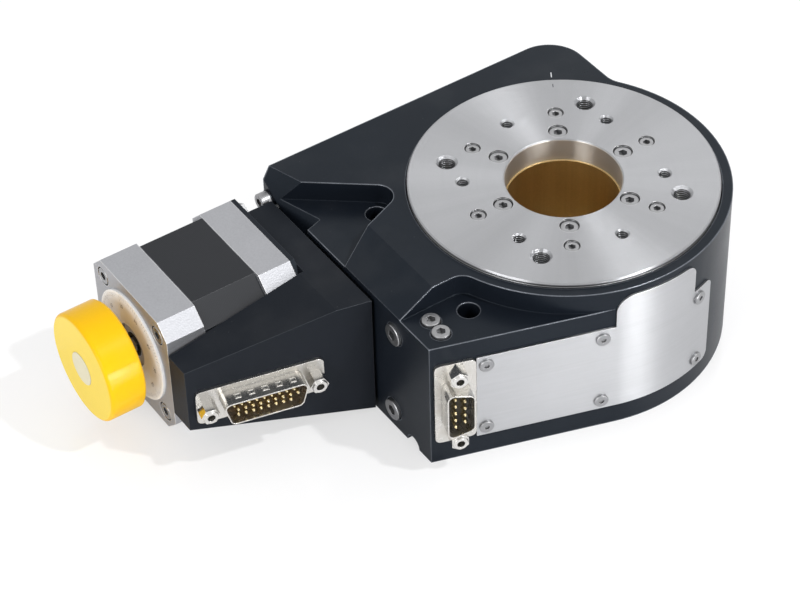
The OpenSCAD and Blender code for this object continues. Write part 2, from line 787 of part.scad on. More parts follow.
module bearing_screws() {
    color("#8a8d91") at_bearing_screws() translate([0, 0, bearing_seat_z])
        cap_screw(m3, bearing_seat_z - ring_bottom + bearing_hole_depth - bearing_tip_room);
}

// ---------- worm wheel and worm ----------

// Half the angle that a tooth spans at radius r on an involute flank
function involute(a) = tan(a) - a*PI/180;
function tooth_half_angle(r) =
    let (base_r = wheel_r*cos(pressure_angle),
         at_r = acos(min(1, base_r/r)),
         half_pitch = 90/wheel_teeth - mesh_play/wheel_r*180/PI)
    half_pitch + (involute(pressure_angle) - involute(at_r))*180/PI;

tooth_levels = [wheel_root_r, wheel_r - 0.45*wheel_module, wheel_r, wheel_r + 0.5*wheel_module, wheel_tip_r];

module wheel_profile() {
    polygon([for (i = [0:wheel_teeth - 1])
        let (a = 90 + 360*(i + 0.5)/wheel_teeth)
        each concat(
            [for (r = tooth_levels) polar(r, a - tooth_half_angle(r))],
            [for (k = [len(tooth_levels) - 1:-1:0]) polar(tooth_levels[k], a + tooth_half_angle(tooth_levels[k]))])]);
}

module worm_wheel() {
    color("#b8823a") difference() {
        union() {
            translate([0, 0, worm_z - wheel_face/2]) linear_extrude(wheel_face) wheel_profile();
            translate([0, 0, worm_z]) cylinder(r = wheel_hub_r, h = platform_bottom - worm_z, $fn = 96);
            translate([0, 0, wheel_bottom]) cylinder(r = wheel_low_hub_r, h = worm_z - wheel_bottom, $fn = 96);
        }
        translate([0, 0, -past]) cylinder(r = wheel_bore_r, h = platform_top, $fn = 96);
        rotate([0, 0, pattern_turn]) ring_of(6, hub_screw_r) translate([0, 0, platform_bottom])
            screw_hole(m3, hub_hole_depth);
    }
}

encoder_lift = 3;        // above the wheel's lower end
encoder_z = wheel_bottom + encoder_lift;
encoder_ring_h = 4;
encoder_ring_r = 29;
encoder_gap = 0.6;
encoder_head_back = 0.8; // from the head to the wall behind it
encoder_head_w = 12;
encoder_head_h = 10;

module encoder_ring() {
    color("#d7d9db") translate([0, 0, encoder_z]) tube_96(encoder_ring_r, wheel_low_hub_r + seat_clear, encoder_ring_h);
}

// Reading head for the encoder ring, bonded to the base cover on the sensor side
module encoder_head() {
    color("#2b3038") rotate([0, 0, tangent_angle])
        translate([encoder_ring_r + encoder_gap, -encoder_head_w/2, cavity_floor])
            cube([cavity_r - encoder_ring_r - encoder_gap - encoder_head_back, encoder_head_w, encoder_head_h]);
}

// Thread cross-section at thread step t: root, tip, tip, root
thread_steps = 24;
thread_root_half = worm_pitch/4 + root_share*wheel_module*tan(pressure_angle) - mesh_play;
thread_tip_half = worm_pitch/4 - wheel_module*tan(pressure_angle) - mesh_play;
thread_last = worm_turns*thread_steps;
// Thread step 0 is on the worm's side next to the wheel, so the middle turn's crest stands there at x = 0
function thread_x(t) = (t/thread_steps - worm_turns/2)*worm_pitch;
function thread_point(t, r, dx) = [thread_x(t) + dx, -r*cos(360*t/thread_steps), -r*sin(360*t/thread_steps)];

worm_points = concat(
    [for (t = [0:thread_last]) each [
        thread_point(t, worm_root_r, -thread_root_half), thread_point(t, worm_tip_r, -thread_tip_half),
        thread_point(t, worm_tip_r, thread_tip_half), thread_point(t, worm_root_r, thread_root_half)]],
    [for (i = [0:thread_steps - 1]) let (p = thread_point(i, worm_root_r, 0)) [-worm_l/2 - worm_pitch, p[1], p[2]]],
    [for (i = [0:thread_steps - 1]) let (p = thread_point(i, worm_root_r, 0)) [worm_l/2 + worm_pitch, p[1], p[2]]]);
first_end = 4*(thread_last + 1);
last_end = first_end + thread_steps;
function wp(t, k) = 4*t + k;
function first_rim(i) = first_end + i % thread_steps;
function last_rim(i) = last_end + i % thread_steps;
function quad(a, b, c, d) = [[a, b, c], [a, c, d]];
function fan(a, rest) = [for (i = [0:len(rest) - 2]) [a, rest[i], rest[i + 1]]];

worm_faces = concat(
    // flanks and crest
    [for (t = [0:thread_last - 1], k = [0:2]) each quad(wp(t, k), wp(t + 1, k), wp(t + 1, k + 1), wp(t, k + 1))],
    // land between one turn and the next
    [for (t = [0:thread_last - thread_steps - 1])
        each quad(wp(t, 3), wp(t + 1, 3), wp(t + 1 + thread_steps, 0), wp(t + thread_steps, 0))],
    // land from the first rim to the first turn
    [for (t = [0:thread_steps - 2]) each quad(first_rim(t), first_rim(t + 1), wp(t + 1, 0), wp(t, 0))],
    fan(first_rim(thread_steps - 1), [first_rim(0), wp(0, 0), wp(0, 3), wp(thread_steps, 0), wp(thread_steps - 1, 0)]),
    // land from the last turn to the last rim
    [for (t = [thread_last - thread_steps + 1:thread_last - 1])
        each quad(wp(t, 3), wp(t + 1, 3), last_rim(t + 1), last_rim(t))],
    fan(wp(thread_last - thread_steps + 1, 3), [last_rim(thread_last + 1), last_rim(thread_last), wp(thread_last, 3),
        wp(thread_last, 0), wp(thread_last - thread_steps, 3)]),
    // ends of the thread and of the core
    [[wp(0, 0), wp(0, 1), wp(0, 2), wp(0, 3)]],
    [[wp(thread_last, 3), wp(thread_last, 2), wp(thread_last, 1), wp(thread_last, 0)]],
    [[for (i = [thread_steps - 1:-1:0]) first_rim(i)]],
    [[for (i = [0:thread_steps - 1]) last_rim(i)]]);

module worm_shaft() {
    thread_end = worm_l/2 + worm_pitch;
    seat_end = worm_front_bearing_x + worm_bearing_w;
    nut_x = worm_front_bearing_x - lock_nut_l - lock_nut_thread;
    color("#8c9096") {
        translate([0, worm_y, worm_z]) polyhedron(worm_points, [for (f = worm_faces) [for (i = [len(f) - 1:-1:0]) f[i]]]);
        on_drive(seat_end) cylinder(r = worm_shoulder_r, h = -thread_end - seat_end + lap);
        on_drive(thread_end - lap) cylinder(r = worm_shoulder_r, h = worm_rear_bearing_x - thread_end + lap);
        on_drive(nut_x) cylinder(d = worm_seat_d, h = seat_end - nut_x + lap);
        on_drive(worm_rear_bearing_x - lap) cylinder(d = worm_seat_d, h = lap + worm_bearing_w + worm_stub);
        on_drive(worm_shaft_front_x) cylinder(d = shaft_d, h = nut_x - worm_shaft_front_x + lap);
    }
}

module worm_lock_nut() {
    color("#6f7378") on_drive(worm_front_bearing_x - lock_nut_l)
        tube(worm_seat_d/2 + lock_nut_wall, worm_seat_d/2 + seat_clear, lock_nut_l);
}

module worm_end_cap() {
    ring_x = worm_rear_bearing_x + worm_bearing_w;
    color("#3a3d42") difference() {
        union() {
            on_drive(ring_x) tube(worm_bearing_r - end_cap_gap, worm_bearing[6], end_cap_x - ring_x + lap);
            on_drive(end_cap_x) cylinder(r = end_cap_r, h = lobe_x - end_cap_x - end_cap_recess);
        }
        on_drive(lobe_x - end_cap_recess - end_cap_key_depth)
            cylinder(d = end_cap_key_d, h = end_cap_key_depth + past, $fn = 6);
    }
}

// ---------- small bearings ----------

shaft_bearings = [[motor_rear_bearing_x, motor_bearing], [motor_front_bearing_x, motor_bearing],
                  [worm_front_bearing_x, worm_bearing], [worm_rear_bearing_x, worm_bearing]];

module race_cut(size) {
    translate([0, 0, size[2]/2]) rotate_extrude() translate([size[4], 0]) circle(r = size[3] + race_clear, $fn = 32);
}

module shaft_bearing_outer_rings() {
    color("#c0c3c7") for (b = shaft_bearings) on_drive(b[0]) difference() {
        tube(b[1][1], b[1][6], b[1][2]);
        race_cut(b[1]);
    }
}

module shaft_bearing_inner_rings() {
    color("#b4b7bb") for (b = shaft_bearings) on_drive(b[0]) difference() {
        tube(b[1][5], b[1][0] + seat_clear, b[1][2]);
        race_cut(b[1]);
    }
}

module balls_of(b) {
    on_drive(b[0] + b[1][2]/2) ring_of(b[1][7], b[1][4]) sphere(r = b[1][3], $fn = 24);
}

module motor_bearing_balls() {
    color("#dfe2e5") {
        balls_of(shaft_bearings[0]);
        balls_of(shaft_bearings[1]);
    }
}

module worm_bearing_balls() {
    color("#dfe2e5") {
        balls_of(shaft_bearings[2]);
        balls_of(shaft_bearings[3]);
    }
}

// ---------- coupling ----------

module jaws(turn) {
    for (a = [0, 180]) rotate([0, 0, a + turn]) intersection() {
        tube(coupling_r, jaw_in_r, jaw_l);
        translate([0, -jaw_w/2, 0]) cube([coupling_r + past, jaw_w, jaw_l]);
    }
}

module coupling_hub(l) {
    difference() {
        cylinder(r = coupling_r, h = l);
        translate([0, 0, -past]) cylinder(r = shaft_d/2 + seat_clear, h = l + 2*past);
        translate([0, 0, l*clamp_place]) rotate([0, 90, 0]) cylinder(d = clamp_hole_d, h = coupling_r + past);
    }
}

module motor_coupling_hub() {
    color("#a7abb0") on_drive(motor_hub_x) {
        coupling_hub(coupling_hub_l);
        translate([0, 0, coupling_hub_l]) jaws(0);
    }
}

module worm_coupling_hub() {
    color("#a7abb0") on_drive(worm_hub_x + coupling_hub_l) mirror([0, 0, 1]) {
        coupling_hub(coupling_hub_l);
        translate([0, 0, coupling_hub_l]) jaws(90);
    }
}

module coupling_spider() {
    color("#b5322c") on_drive(spider_x + spider_gap) for (a = [45:90:315]) rotate([0, 0, a])
        intersection() {
            tube(coupling_r - spider_inset, spider_core_r, spider_l - 2*spider_gap);
            translate([0, -spider_arm_w/2, 0]) cube([coupling_r, spider_arm_w, spider_l]);
        }
}

// ---------- motor ----------

module bell_outline(chamfer) {
    a = motor_w/2;
    c = a - chamfer;
    polygon([[-a, -c], [-c, -a], [c, -a], [a, -c], [a, c], [c, a], [-c, a], [-a, c]]);
}

module motor_corners(x) {
    on_drive(x) for (i = [-1, 1], j = [-1, 1]) translate([i*motor_screw_pitch/2, j*motor_screw_pitch/2, 0]) children();
}

// Clearance holes of the motor's four long screws
module motor_holes(x, l) {
    motor_corners(x) translate([0, 0, -past]) cylinder(d = m3[0] + 2*thread_clear, h = l + 2*past, $fn = 24);
}

module motor_front_bell() {
    color("#c4c7cb") difference() {
        union() {
            on_drive(stator_front_x) linear_extrude(front_bell_l) bell_outline(bell_chamfer);
            on_drive(-motor_face_x - eps) cylinder(r = pilot_r, h = motor_plate_t + pilot_h);
        }
        on_drive(stator_front_x - past) cylinder(r = bell_room_r, h = front_bell_l - front_bell_floor + past);
        on_drive(stator_front_x) cylinder(r = motor_bearing_r + seat_clear, h = front_bell_l - past);
        on_drive(stator_front_x) cylinder(r = bell_shaft_hole_r, h = front_bell_l + motor_plate_t + pilot_h + past);
        motor_holes(stator_front_x, front_bell_l);
    }
}

module motor_stator() {
    color("#23252a") difference() {
        on_drive(stator_rear_x) linear_extrude(stator_l) bell_outline(stator_chamfer);
        on_drive(stator_rear_x - past) cylinder(r = rotor_r + rotor_gap, h = stator_l + 2*past, $fn = 96);
        on_drive(stator_rear_x - past) at_poles()
            translate([rotor_r, -slot_w/2, 0]) cube([slot_depth, slot_w, stator_l + 2*past]);
        motor_holes(stator_rear_x, stator_l);
    }
}

module at_poles() {
    for (i = [0:pole_count - 1]) rotate([0, 0, 360*(i + 0.5)/pole_count]) children();
}

module motor_coils() {
    color("#b5651d") on_drive(stator_rear_x - coil_end) at_poles()
        translate([rotor_r + coil_gap, -coil_w/2, 0]) cube([coil_t, coil_w, stator_l + 2*coil_end]);
}

module motor_rear_bell() {
    color("#c4c7cb") difference() {
        on_drive(motor_rear_x) linear_extrude(rear_bell_l) bell_outline(bell_chamfer);
        on_drive(motor_rear_x + rear_bell_floor) cylinder(r = bell_room_r, h = rear_bell_l);
        on_drive(motor_rear_bearing_x) cylinder(r = motor_bearing_r + seat_clear, h = rear_bell_l);
        on_drive(motor_rear_x - past) cylinder(r = bell_shaft_hole_r, h = rear_bell_l);
        motor_holes(motor_rear_x, rear_bell_l);
        motor_corners(motor_rear_x - past) cylinder(d = motor_head_hole_d, h = motor_head_sink + past);
    }
}

module motor_rotor() {
    stack_l = (stator_l - 2*rotor_inset - rotor_waist_l)/2;
    color("#6b6e73") on_drive(stator_rear_x + rotor_inset) difference() {
        union() {
            cylinder(r = rotor_r, h = stack_l);
            translate([0, 0, stack_l]) cylinder(r = rotor_r - rotor_waist_depth, h = rotor_waist_l);
            translate([0, 0, stack_l + rotor_waist_l]) cylinder(r = rotor_r, h = stack_l);
        }
        translate([0, 0, -past]) cylinder(r = shaft_d/2 + seat_clear, h = stator_l + 2*past);
    }
}

module motor_shaft() {
    knob_seat_x = knob_front_x + knob_floor;
    color("#d0d3d6") on_drive(knob_seat_x) cylinder(d = shaft_d, h = motor_shaft_front_x - knob_seat_x);
}

module motor_screws() {
    seat_x = motor_rear_x + motor_head_sink;
    color("#b2b5b9") motor_corners(seat_x) mirror([0, 0, 1]) cap_screw(m3, bracket_motor_x + motor_screw_grip - seat_x);
}

module motor_plate() {
    color("#202226") difference() {
        on_drive(-motor_face_x) linear_extrude(motor_plate_t) bell_outline(bell_chamfer);
        on_drive(-motor_face_x - past) cylinder(r = pilot_r + seat_clear, h = motor_plate_t + 2*past);
        motor_holes(-motor_face_x, motor_plate_t);
    }
}

// Nuts on the two corner screws that lie beyond the bracket's back end
module motor_nuts() {
    color("#8a8d91") on_drive(bracket_motor_x) for (i = [-1, 1]) translate([i*motor_screw_pitch/2, motor_screw_pitch/2, 0])
        difference() {
            cylinder(d = nut_flats/cos(30), h = nut_h, $fn = 6);
            translate([0, 0, -past]) cylinder(d = m3[0] + 2*thread_clear, h = nut_h + 2*past, $fn = 32);
        }
}

module scale_ring() {
    color("#f2f2ee") on_drive(motor_rear_x - scale_ring_t) tube_96(scale_ring_r, scale_ring_in_r, scale_ring_t);
}

module knob() {
    n = 8;
    r = knob_d/2;
    color("#f3c913") on_drive(knob_front_x) difference() {
        rotate_extrude($fn = 96) polygon(concat(
            [[0, 0]],
            [for (i = [0:n]) [r - knob_edge_r + knob_edge_r*sin(90*i/n), knob_edge_r - knob_edge_r*cos(90*i/n)]],
            [[r, knob_l - knob_back_chamfer], [r - knob_back_chamfer, knob_l], [0, knob_l]]));
        translate([0, 0, knob_floor]) cylinder(r = shaft_d/2 + seat_clear, h = knob_l);
        translate([0, 0, -past]) cylinder(r = knob_cap_r + knob_cap_gap, h = knob_cap_depth + past);
        translate([0, 0, set_screw_z]) rotate([0, 90, 0]) cylinder(d = m3[0] + 2*thread_clear, h = r + past, $fn = 24);
    }
}

module knob_cap() {
    color("#f4f4f1") on_drive(knob_front_x - knob_cap_rise)
        cylinder(r = knob_cap_r, h = knob_cap_rise + knob_cap_depth - eps);
}

module knob_set_screw() {
    start = shaft_d/2 + set_screw_gap;
    color("#55585d") on_drive(knob_front_x) translate([0, 0, set_screw_z]) rotate([0, 90, 0]) difference() {
        translate([0, 0, start]) cylinder(d = m3[0], h = set_screw_l, $fn = 24);
        translate([0, 0, start + set_screw_l - set_screw_socket])
            cylinder(d = set_screw_flats/cos(30), h = set_screw_socket + past, $fn = 6);
    }
}

// ---------- motor bracket with the controller connector ----------

function face_y(x) = bracket_front_y + (bracket_x - x)*tan(bracket_turn);
function under_z(x) = box_root_bottom + (box_end_bottom - box_root_bottom)*(bracket_x - x)/(bracket_x - box_end_x);
function over_z(x) = x > box_level_x ? bracket_h
    : bracket_h - (bracket_h - box_end_top)*(box_level_x - x)/(box_level_x - box_end_x);

module bracket_plan() {
    polygon([[box_end_x, face_y(box_end_x)], [bracket_x, face_y(bracket_x)], [bracket_x, bracket_back_y],
             [bracket_motor_x, bracket_back_y], [bracket_motor_x, box_back_y], [box_end_x, box_back_y]]);
}

module side_profile(points) {
    translate([0, bracket_back_y + past, 0]) rotate([90, 0, 0]) linear_extrude(bracket_back_y + box_reach) polygon(points);
}

// Plan of the room inside the connector box
module box_room_plan(clear) {
    x0 = box_end_x + box_wall + clear;
    x1 = bracket_motor_x - box_wall - clear;
    in_y = box_wall/cos(bracket_turn) + clear;
    polygon([[x0, face_y(x0) + in_y], [x1, face_y(x1) + in_y], [x1, box_back_y - box_wall - clear],
             [x0, box_back_y - box_wall - clear]]);
}

module bracket_block() {
    far = box_end_x;
    intersection() {
        linear_extrude(bracket_h + past) bracket_plan();
        side_profile([[far - 1, under_z(far - 1)], [bracket_x + 1, under_z(bracket_x + 1)],
                      [bracket_x + 1, bracket_h], [box_level_x, bracket_h], [far - 1, over_z(far - 1)]]);
    }
    // pad that seats on the housing's end face
    in = box_pad_inset;
    translate([bracket_x - eps, face_y(bracket_x) + in, under_z(bracket_x) + in])
        cube([bracket_groove + eps, bracket_back_y - face_y(bracket_x) - 2*in, bracket_h - under_z(bracket_x) - 2*in]);
}

module box_room() {
    far = box_end_x;
    intersection() {
        translate([0, 0, -past]) linear_extrude(bracket_h) box_room_plan(0);
        side_profile([[far - 1, under_z(far - 1) - past], [bracket_x, under_z(bracket_x) - past],
                      [bracket_x, bracket_h - box_wall], [box_level_x, bracket_h - box_wall],
                      [far - 1, over_z(far - 1) - box_wall]]);
    }
    cover_band(cover_lip + cover_edge_gap/2, -past);
}

module motor_bracket() {
    color("#1d1f23") difference() {
        union() {
            difference() {
                bracket_block();
                box_room();
            }
            for (x = cover_screw_places) cover_screw_at(x) translate([0, 0, -boss_h]) cylinder(r = boss_r, h = boss_h - cover_t);
        }
        // coupling and motor pilot
        on_drive(-motor_face_x) cylinder(r = coupling_bore_r, h = motor_face_x - end_x + past);
        on_drive(-motor_face_x) cylinder(r = pilot_r + pilot_clear, h = motor_plate_t + pilot_h + pilot_clear);
        motor_corners(bracket_motor_x - past) cylinder(d = m3[0] + 2*thread_clear, h = motor_screw_grip + 2*past, $fn = 32);
        // window for the controller connector
        on_bracket_face(controller_offset, controller_z) translate([0, 0, -box_wall - past])
            linear_extrude(box_wall + 2*past)
                polygon(d_outline(da_size[1] + window_room, dsub_back_w + window_gap, window_r, 0));
        for (s = [-1, 1]) on_bracket_face(controller_offset, controller_z)
            translate([s*da_jack_pitch/2, 0, 0]) screw_hole(m3, jack_hole_depth);
        for (p = bracket_screw_places) translate([bracket_motor_x, p[0], p[1]]) rotate([0, -90, 0]) {
            translate([0, 0, -bracket_bore_reach]) cylinder(d = bracket_hole_d, h = 2*bracket_bore_reach);
            translate([0, 0, -bracket_seat]) cylinder(d = m4[1] + 2*head_clear, h = bracket_seat + bracket_head_run);
        }
        for (x = cover_screw_places) cover_screw_at(x) screw_hole(cover_m24, cover_hole_depth);
    }
}

// The cover's band under the room, grown at the sides and starting this far inside the underside
module cover_band(grow, rise) {
    far = box_end_x;
    top = cover_t + cover_rise;
    intersection() {
        translate([0, 0, -past]) linear_extrude(bracket_h) box_room_plan(-grow);
        side_profile([[far - 1, under_z(far - 1) + rise], [bracket_x, under_z(bracket_x) + rise],
                      [bracket_x, under_z(bracket_x) + top], [far - 1, under_z(far - 1) + top]]);
    }
}

module cover_screw_at(x) {
    slope = atan((box_end_bottom - box_root_bottom)/(bracket_x - box_end_x));
    translate([x, box_back_y - box_wall - boss_inset, under_z(x) + cover_rise])
        rotate([0, slope, 0]) mirror([0, 0, 1]) children();
}

module bracket_cover() {
    color("#26282c") difference() {
        cover_band(cover_lip - cover_edge_gap, cover_rise);
        for (x = cover_screw_places) cover_screw_at(x) translate([0, 0, past]) screw_hole(cover_m24, cover_hole_depth);
    }
}

module bracket_cover_screws() {
    color("#a9acb0") for (x = cover_screw_places) cover_screw_at(x) cap_screw(cover_m24, cover_screw_l);
}

module bracket_screws() {
    seat_x = bracket_motor_x + bracket_seat;
    color("#6f7378") for (p = bracket_screw_places) translate([seat_x, p[0], p[1]])
        rotate([0, -90, 0]) cap_screw(m4, -end_x - seat_x + bracket_grip);
}

module controller_board() {
    board_t = 1.2;
    board_gap = 0.05;
    board_l = da_size[1] - 1.4;
    color("#1f5a38") at_controller() translate([0, 0, -dsub_back_depth - board_t - board_gap]) difference() {
        translate([-board_l/2, -dsub_back_w/2, 0]) cube([board_l, dsub_back_w, board_t]);
        pin_places(da_rows) translate([0, 0, -past]) pin_hole(board_t + 2*past);
    }
}

// ---------- connectors ----------

// Rounded D outline, w long and h wide, with its long side towards +Y, turned by a
function d_corner(c, r, from, to) = [for (i = [0:4]) c + polar(r, from + (to - from)*i/4)];
function d_outline(w, h, r, a) =
    let (slant = dsub_slant,
         inset = h*tan(slant)/2,
         pts = concat(
            d_corner([w/2 - r, h/2 - r], r, 90, -slant),
            d_corner([w/2 - inset*2 - r*0.9, -h/2 + r], r, -slant, -90),
            d_corner([-w/2 + inset*2 + r*0.9, -h/2 + r], r, -90, -180 + slant),
            d_corner([-w/2 + r, h/2 - r], r, 180 + slant, 90)))
    [for (p = pts) turned(p, a)];

module dsub_shell(size, jack_pitch) {
    l = size[0];
    s = size[1];
    difference() {
        union() {
            linear_extrude(dsub_flange_t) rounded_plate(l, dsub_flange_w, dsub_flange_r);
            translate([0, 0, dsub_flange_t - eps]) linear_extrude(dsub_shell_h)
                polygon(d_outline(s, dsub_shell_w, dsub_shell_r, 0));
        }
        translate([0, 0, -past]) linear_extrude(dsub_flange_t + dsub_shell_h + 2*past)
            polygon(d_outline(s - 2*dsub_wall, dsub_shell_w - 2*dsub_wall, dsub_room_r, 0));
        for (i = [-1, 1]) translate([i*jack_pitch/2, 0, -past])
            cylinder(d = m3[0] + 2*thread_clear, h = dsub_flange_t + 2*past, $fn = 32);
    }
}

module rounded_plate(l, w, r) {
    translate([-l/2 + r, -w/2]) square([l - 2*r, w]);
    translate([-l/2, -w/2 + r]) square([l, w - 2*r]);
    for (i = [-1, 1], j = [-1, 1]) translate([i*(l/2 - r), j*(w/2 - r)]) circle(r = r, $fn = 32);
}

// Rows of pins: y, number, x pitch, x of the row's middle
de_rows = [[1.42, 5, 2.77, 0], [-1.42, 4, 2.77, 0]];
da_rows = [[1.98, 9, 2.29, -0.4], [0, 9, 2.29, 0.74], [-1.98, 8, 2.29, -0.4]];

module pin_places(rows) {
    for (row = rows, i = [0:row[1] - 1]) translate([row[3] + (i - (row[1] - 1)/2)*row[2], row[0], 0]) children();
}

module pin_hole(l) {
    cylinder(d = pin_d + 2*pin_clear, h = l, $fn = 16);
}

module dsub_insulator(size, rows) {
    room = size[1] - 2*dsub_wall;
    room_w = dsub_shell_w - 2*dsub_wall;
    difference() {
        union() {
            translate([0, 0, -dsub_back_depth]) linear_extrude(dsub_back_depth - 2*eps)
                polygon(d_outline(size[1] + insulator_back, dsub_back_w - insulator_back_in, 1.4, 0));
            translate([0, 0, -3*eps]) linear_extrude(dsub_flange_t + insulator_rise)
                polygon(d_outline(room - insulator_gap, room_w - insulator_gap, dsub_room_r - insulator_gap/2, 0));
        }
        pin_places(rows) translate([0, 0, -dsub_back_depth - past]) pin_hole(dsub_back_depth + dsub_shell_h);
    }
}

module dsub_pins(rows) {
    foot = -dsub_back_depth - pin_tail;
    neck = dsub_flange_t + pin_rise;
    pin_places(rows) {
        translate([0, 0, foot]) cylinder(d = pin_d, h = neck - foot, $fn = 16);
        translate([0, 0, neck]) cylinder(d1 = pin_d, d2 = pin_tip_d, h = pin_tip_l, $fn = 16);
    }
}

module jackscrew() {
    difference() {
        union() {
            translate([0, 0, dsub_flange_t]) cylinder(d = jack_flats/cos(30), h = jack_h, $fn = 6);
            translate([0, 0, dsub_flange_t + jack_h])
                cylinder(d1 = jack_tip_d[0], d2 = jack_tip_d[1], h = jack_tip_l, $fn = 32);
            translate([0, 0, -jack_l]) cylinder(d = m3[0], h = jack_l + dsub_flange_t + eps, $fn = 24);
        }
        translate([0, 0, jack_floor]) cylinder(d = jack_bore_d, h = dsub_flange_t + jack_h + past, $fn = 24);
    }
}

module at_controller() {
    on_bracket_face(controller_offset, controller_z) children();
}

module at_sensor() {
    on_sensor_face(-sensor_offset, sensor_z) rotate([0, 0, 90]) children();
}

module controller_shell() {
    color("#c8cacd") at_controller() dsub_shell(da_size, da_jack_pitch);
}

module controller_insulator() {
    color("#4a3b22") at_controller() dsub_insulator(da_size, da_rows);
}

module controller_pins() {
    color("#d8b24a") at_controller() dsub_pins(da_rows);
}

module controller_jackscrews() {
    color("#b9bcc0") at_controller() for (s = [-1, 1]) translate([s*da_jack_pitch/2, 0, 0]) jackscrew();
}

module sensor_shell() {
    color("#c8cacd") at_sensor() dsub_shell(de_size, de_jack_pitch);
}

module sensor_insulator() {
    color("#2c2a26") at_sensor() dsub_insulator(de_size, de_rows);
}

module sensor_pins() {
    color("#d8c489") at_sensor() dsub_pins(de_rows);
}

module sensor_jackscrews() {
    color("#b9bcc0") at_sensor() for (s = [-1, 1]) translate([s*de_jack_pitch/2, 0, 0]) jackscrew();
}

module sensor_board() {
    board = [21, 22, 1.6];
    along = -24.5;   // place of its middle along the face
    color("#1f5a38") on_sensor_face(along, sensor_z) translate([-board[0]/2, -board[1]/2, -bay_depth]) cube(board);
}

// ---------- side cover ----------

cover_left = -sensor_offset + dsub_flange_w/2 + 0.2;
step_left = -0.8;
side_screw_edge = 3.4;
side_screw_low = side_cover_bottom + side_screw_edge;
side_screw_high = side_cover_top - side_screw_edge;
// Places of the cover screws: distance along the face before the tangent point, or angle after it
side_screw_places = [for (z = [side_screw_low, side_screw_high]) each [
    ["flat", cover_left + 2.9, z], ["flat", step_left - 4, z], ["round", side_cover_angle - 7, z]]];

side_hole_depth = 3.5;
side_clear_hole_d = 2.7;
side_seat_gap = 0.02;
side_tip_room = 0.2;

// The housing's surface at one of those places, local Z outwards
module on_side_cover(p) {
    if (p[0] == "flat") on_sensor_face(p[1], p[2]) children();
    else rotate([0, 0, tangent_angle + p[1]]) translate([wall_r, 0, p[2]]) rotate([0, 90, 0]) children();
}

// Square block with a quarter round left out of it, for rounding a corner towards +x and +y
module corner_cutter(r) {
    reach = 6;   // to both sides of the sheet
    linear_extrude(2*reach, center = true) difference() {
        square([r + reach, r + reach]);
        circle(r = r, $fn = 48);
    }
}

// Plan of the sheet, local X outwards at the tangent point and local Y along the face
module side_cover_plan() {
    in_r = wall_r + eps;
    out_r = in_r + side_cover_t;
    far = 2*wall_r;
    translate([in_r, cover_left]) square([side_cover_t, -cover_left]);
    intersection() {
        difference() {
            circle(r = out_r, $fn = 128);
            circle(r = in_r, $fn = 128);
        }
        polygon([[0, 0], [far, 0], [far, far], polar(far, side_cover_angle)]);
    }
}

module side_cover() {
    step_r = 6;
    top_r = 3.8;
    end_r = 2.6;
    edge = 0.03;   // a rounding reaches this far past the edges that it joins
    drop = side_cover_step_top - side_cover_top + past;
    far = 2*wall_r;
    color("#d3d5d8") difference() {
        rotate([0, 0, tangent_angle]) difference() {
            translate([0, 0, side_cover_bottom]) linear_extrude(side_cover_step_top - side_cover_bottom) side_cover_plan();
            translate([0, step_left - far, side_cover_top]) cube([far, far, drop]);
            rotate([0, 0, side_cover_step_angle]) translate([0, 0, side_cover_top]) cube([far, far, drop]);
        }
        on_sensor_face(step_left + step_r - edge, side_cover_step_top - step_r + edge)
            mirror([1, 0, 0]) corner_cutter(step_r);
        rotate([0, 0, tangent_angle + side_cover_step_angle]) translate([wall_r, 0, 0]) rotate([90, 0, 90])
            translate([edge - top_r, side_cover_step_top - top_r + edge]) corner_cutter(top_r);
        rotate([0, 0, tangent_angle + side_cover_angle]) translate([wall_r, 0, 0]) rotate([90, 0, 90]) {
            translate([edge - end_r, side_cover_top - end_r + edge]) corner_cutter(end_r);
            translate([edge - end_r, side_cover_bottom + end_r - edge]) mirror([0, 1, 0]) corner_cutter(end_r);
        }
        for (p = side_screw_places) on_side_cover(p) translate([0, 0, -past])
            cylinder(d = side_clear_hole_d, h = side_cover_t + 2*past, $fn = 32);
    }
}

module side_cover_screws() {
    color("#c3c6c9") for (p = side_screw_places) on_side_cover(p)
        translate([0, 0, side_cover_t + side_seat_gap]) cap_screw(cover_m25, side_hole_depth + side_cover_t - side_tip_room);
}

// ---------- screws in the housing ----------

module shelf_screws() {
    color("#b9bcc0") for (p = shelf_screw_places) translate([p[0], p[1], shelf_h - shelf_head_sink])
        cap_screw(m3, shelf_screw_l);
}

module end_face_screws() {
    color("#b9bcc0") for (p = end_screw_places) translate([-end_x + end_head_sink, p[0], p[1]]) rotate([0, -90, 0])
        cap_screw(m4, end_screw_l);
}

module at_preload(out) {
    translate([-end_x - out, preload_y, preload_z]) rotate([0, -90, 0]) children();
}

module preload_washer() {
    color("#17181b") at_preload(0) tube(preload_washer_r, preload_washer_in_r, preload_washer_t);
}

module preload_screw() {
    color("#b9bcc0") at_preload(preload_washer_t) cap_screw(m3, preload_l);
}

// ---------- all nodes ----------

housing();
base_cover();
base_cover_screws();
platform();
hub_screws();
ring_screws();
bearing_outer_ring();
bearing_inner_ring();
bearing_balls();
bearing_cage();
bearing_screws();
worm_wheel();
encoder_ring();
encoder_head();
sensor_board();
worm_shaft();
worm_end_cap();
worm_lock_nut();
shaft_bearing_outer_rings();
shaft_bearing_inner_rings();
motor_bearing_balls();
worm_bearing_balls();
worm_coupling_hub();
coupling_spider();
motor_coupling_hub();
motor_front_bell();
motor_stator();
motor_coils();
motor_rear_bell();
motor_rotor();
motor_shaft();
motor_screws();
motor_plate();
motor_nuts();
scale_ring();
knob();
knob_cap();
knob_set_screw();
motor_bracket();
bracket_screws();
bracket_cover();
bracket_cover_screws();
controller_board();
controller_shell();
controller_insulator();
controller_pins();
controller_jackscrews();
sensor_shell();
sensor_insulator();
sensor_pins();
sensor_jackscrews();
side_cover();
side_cover_screws();
shelf_screws();
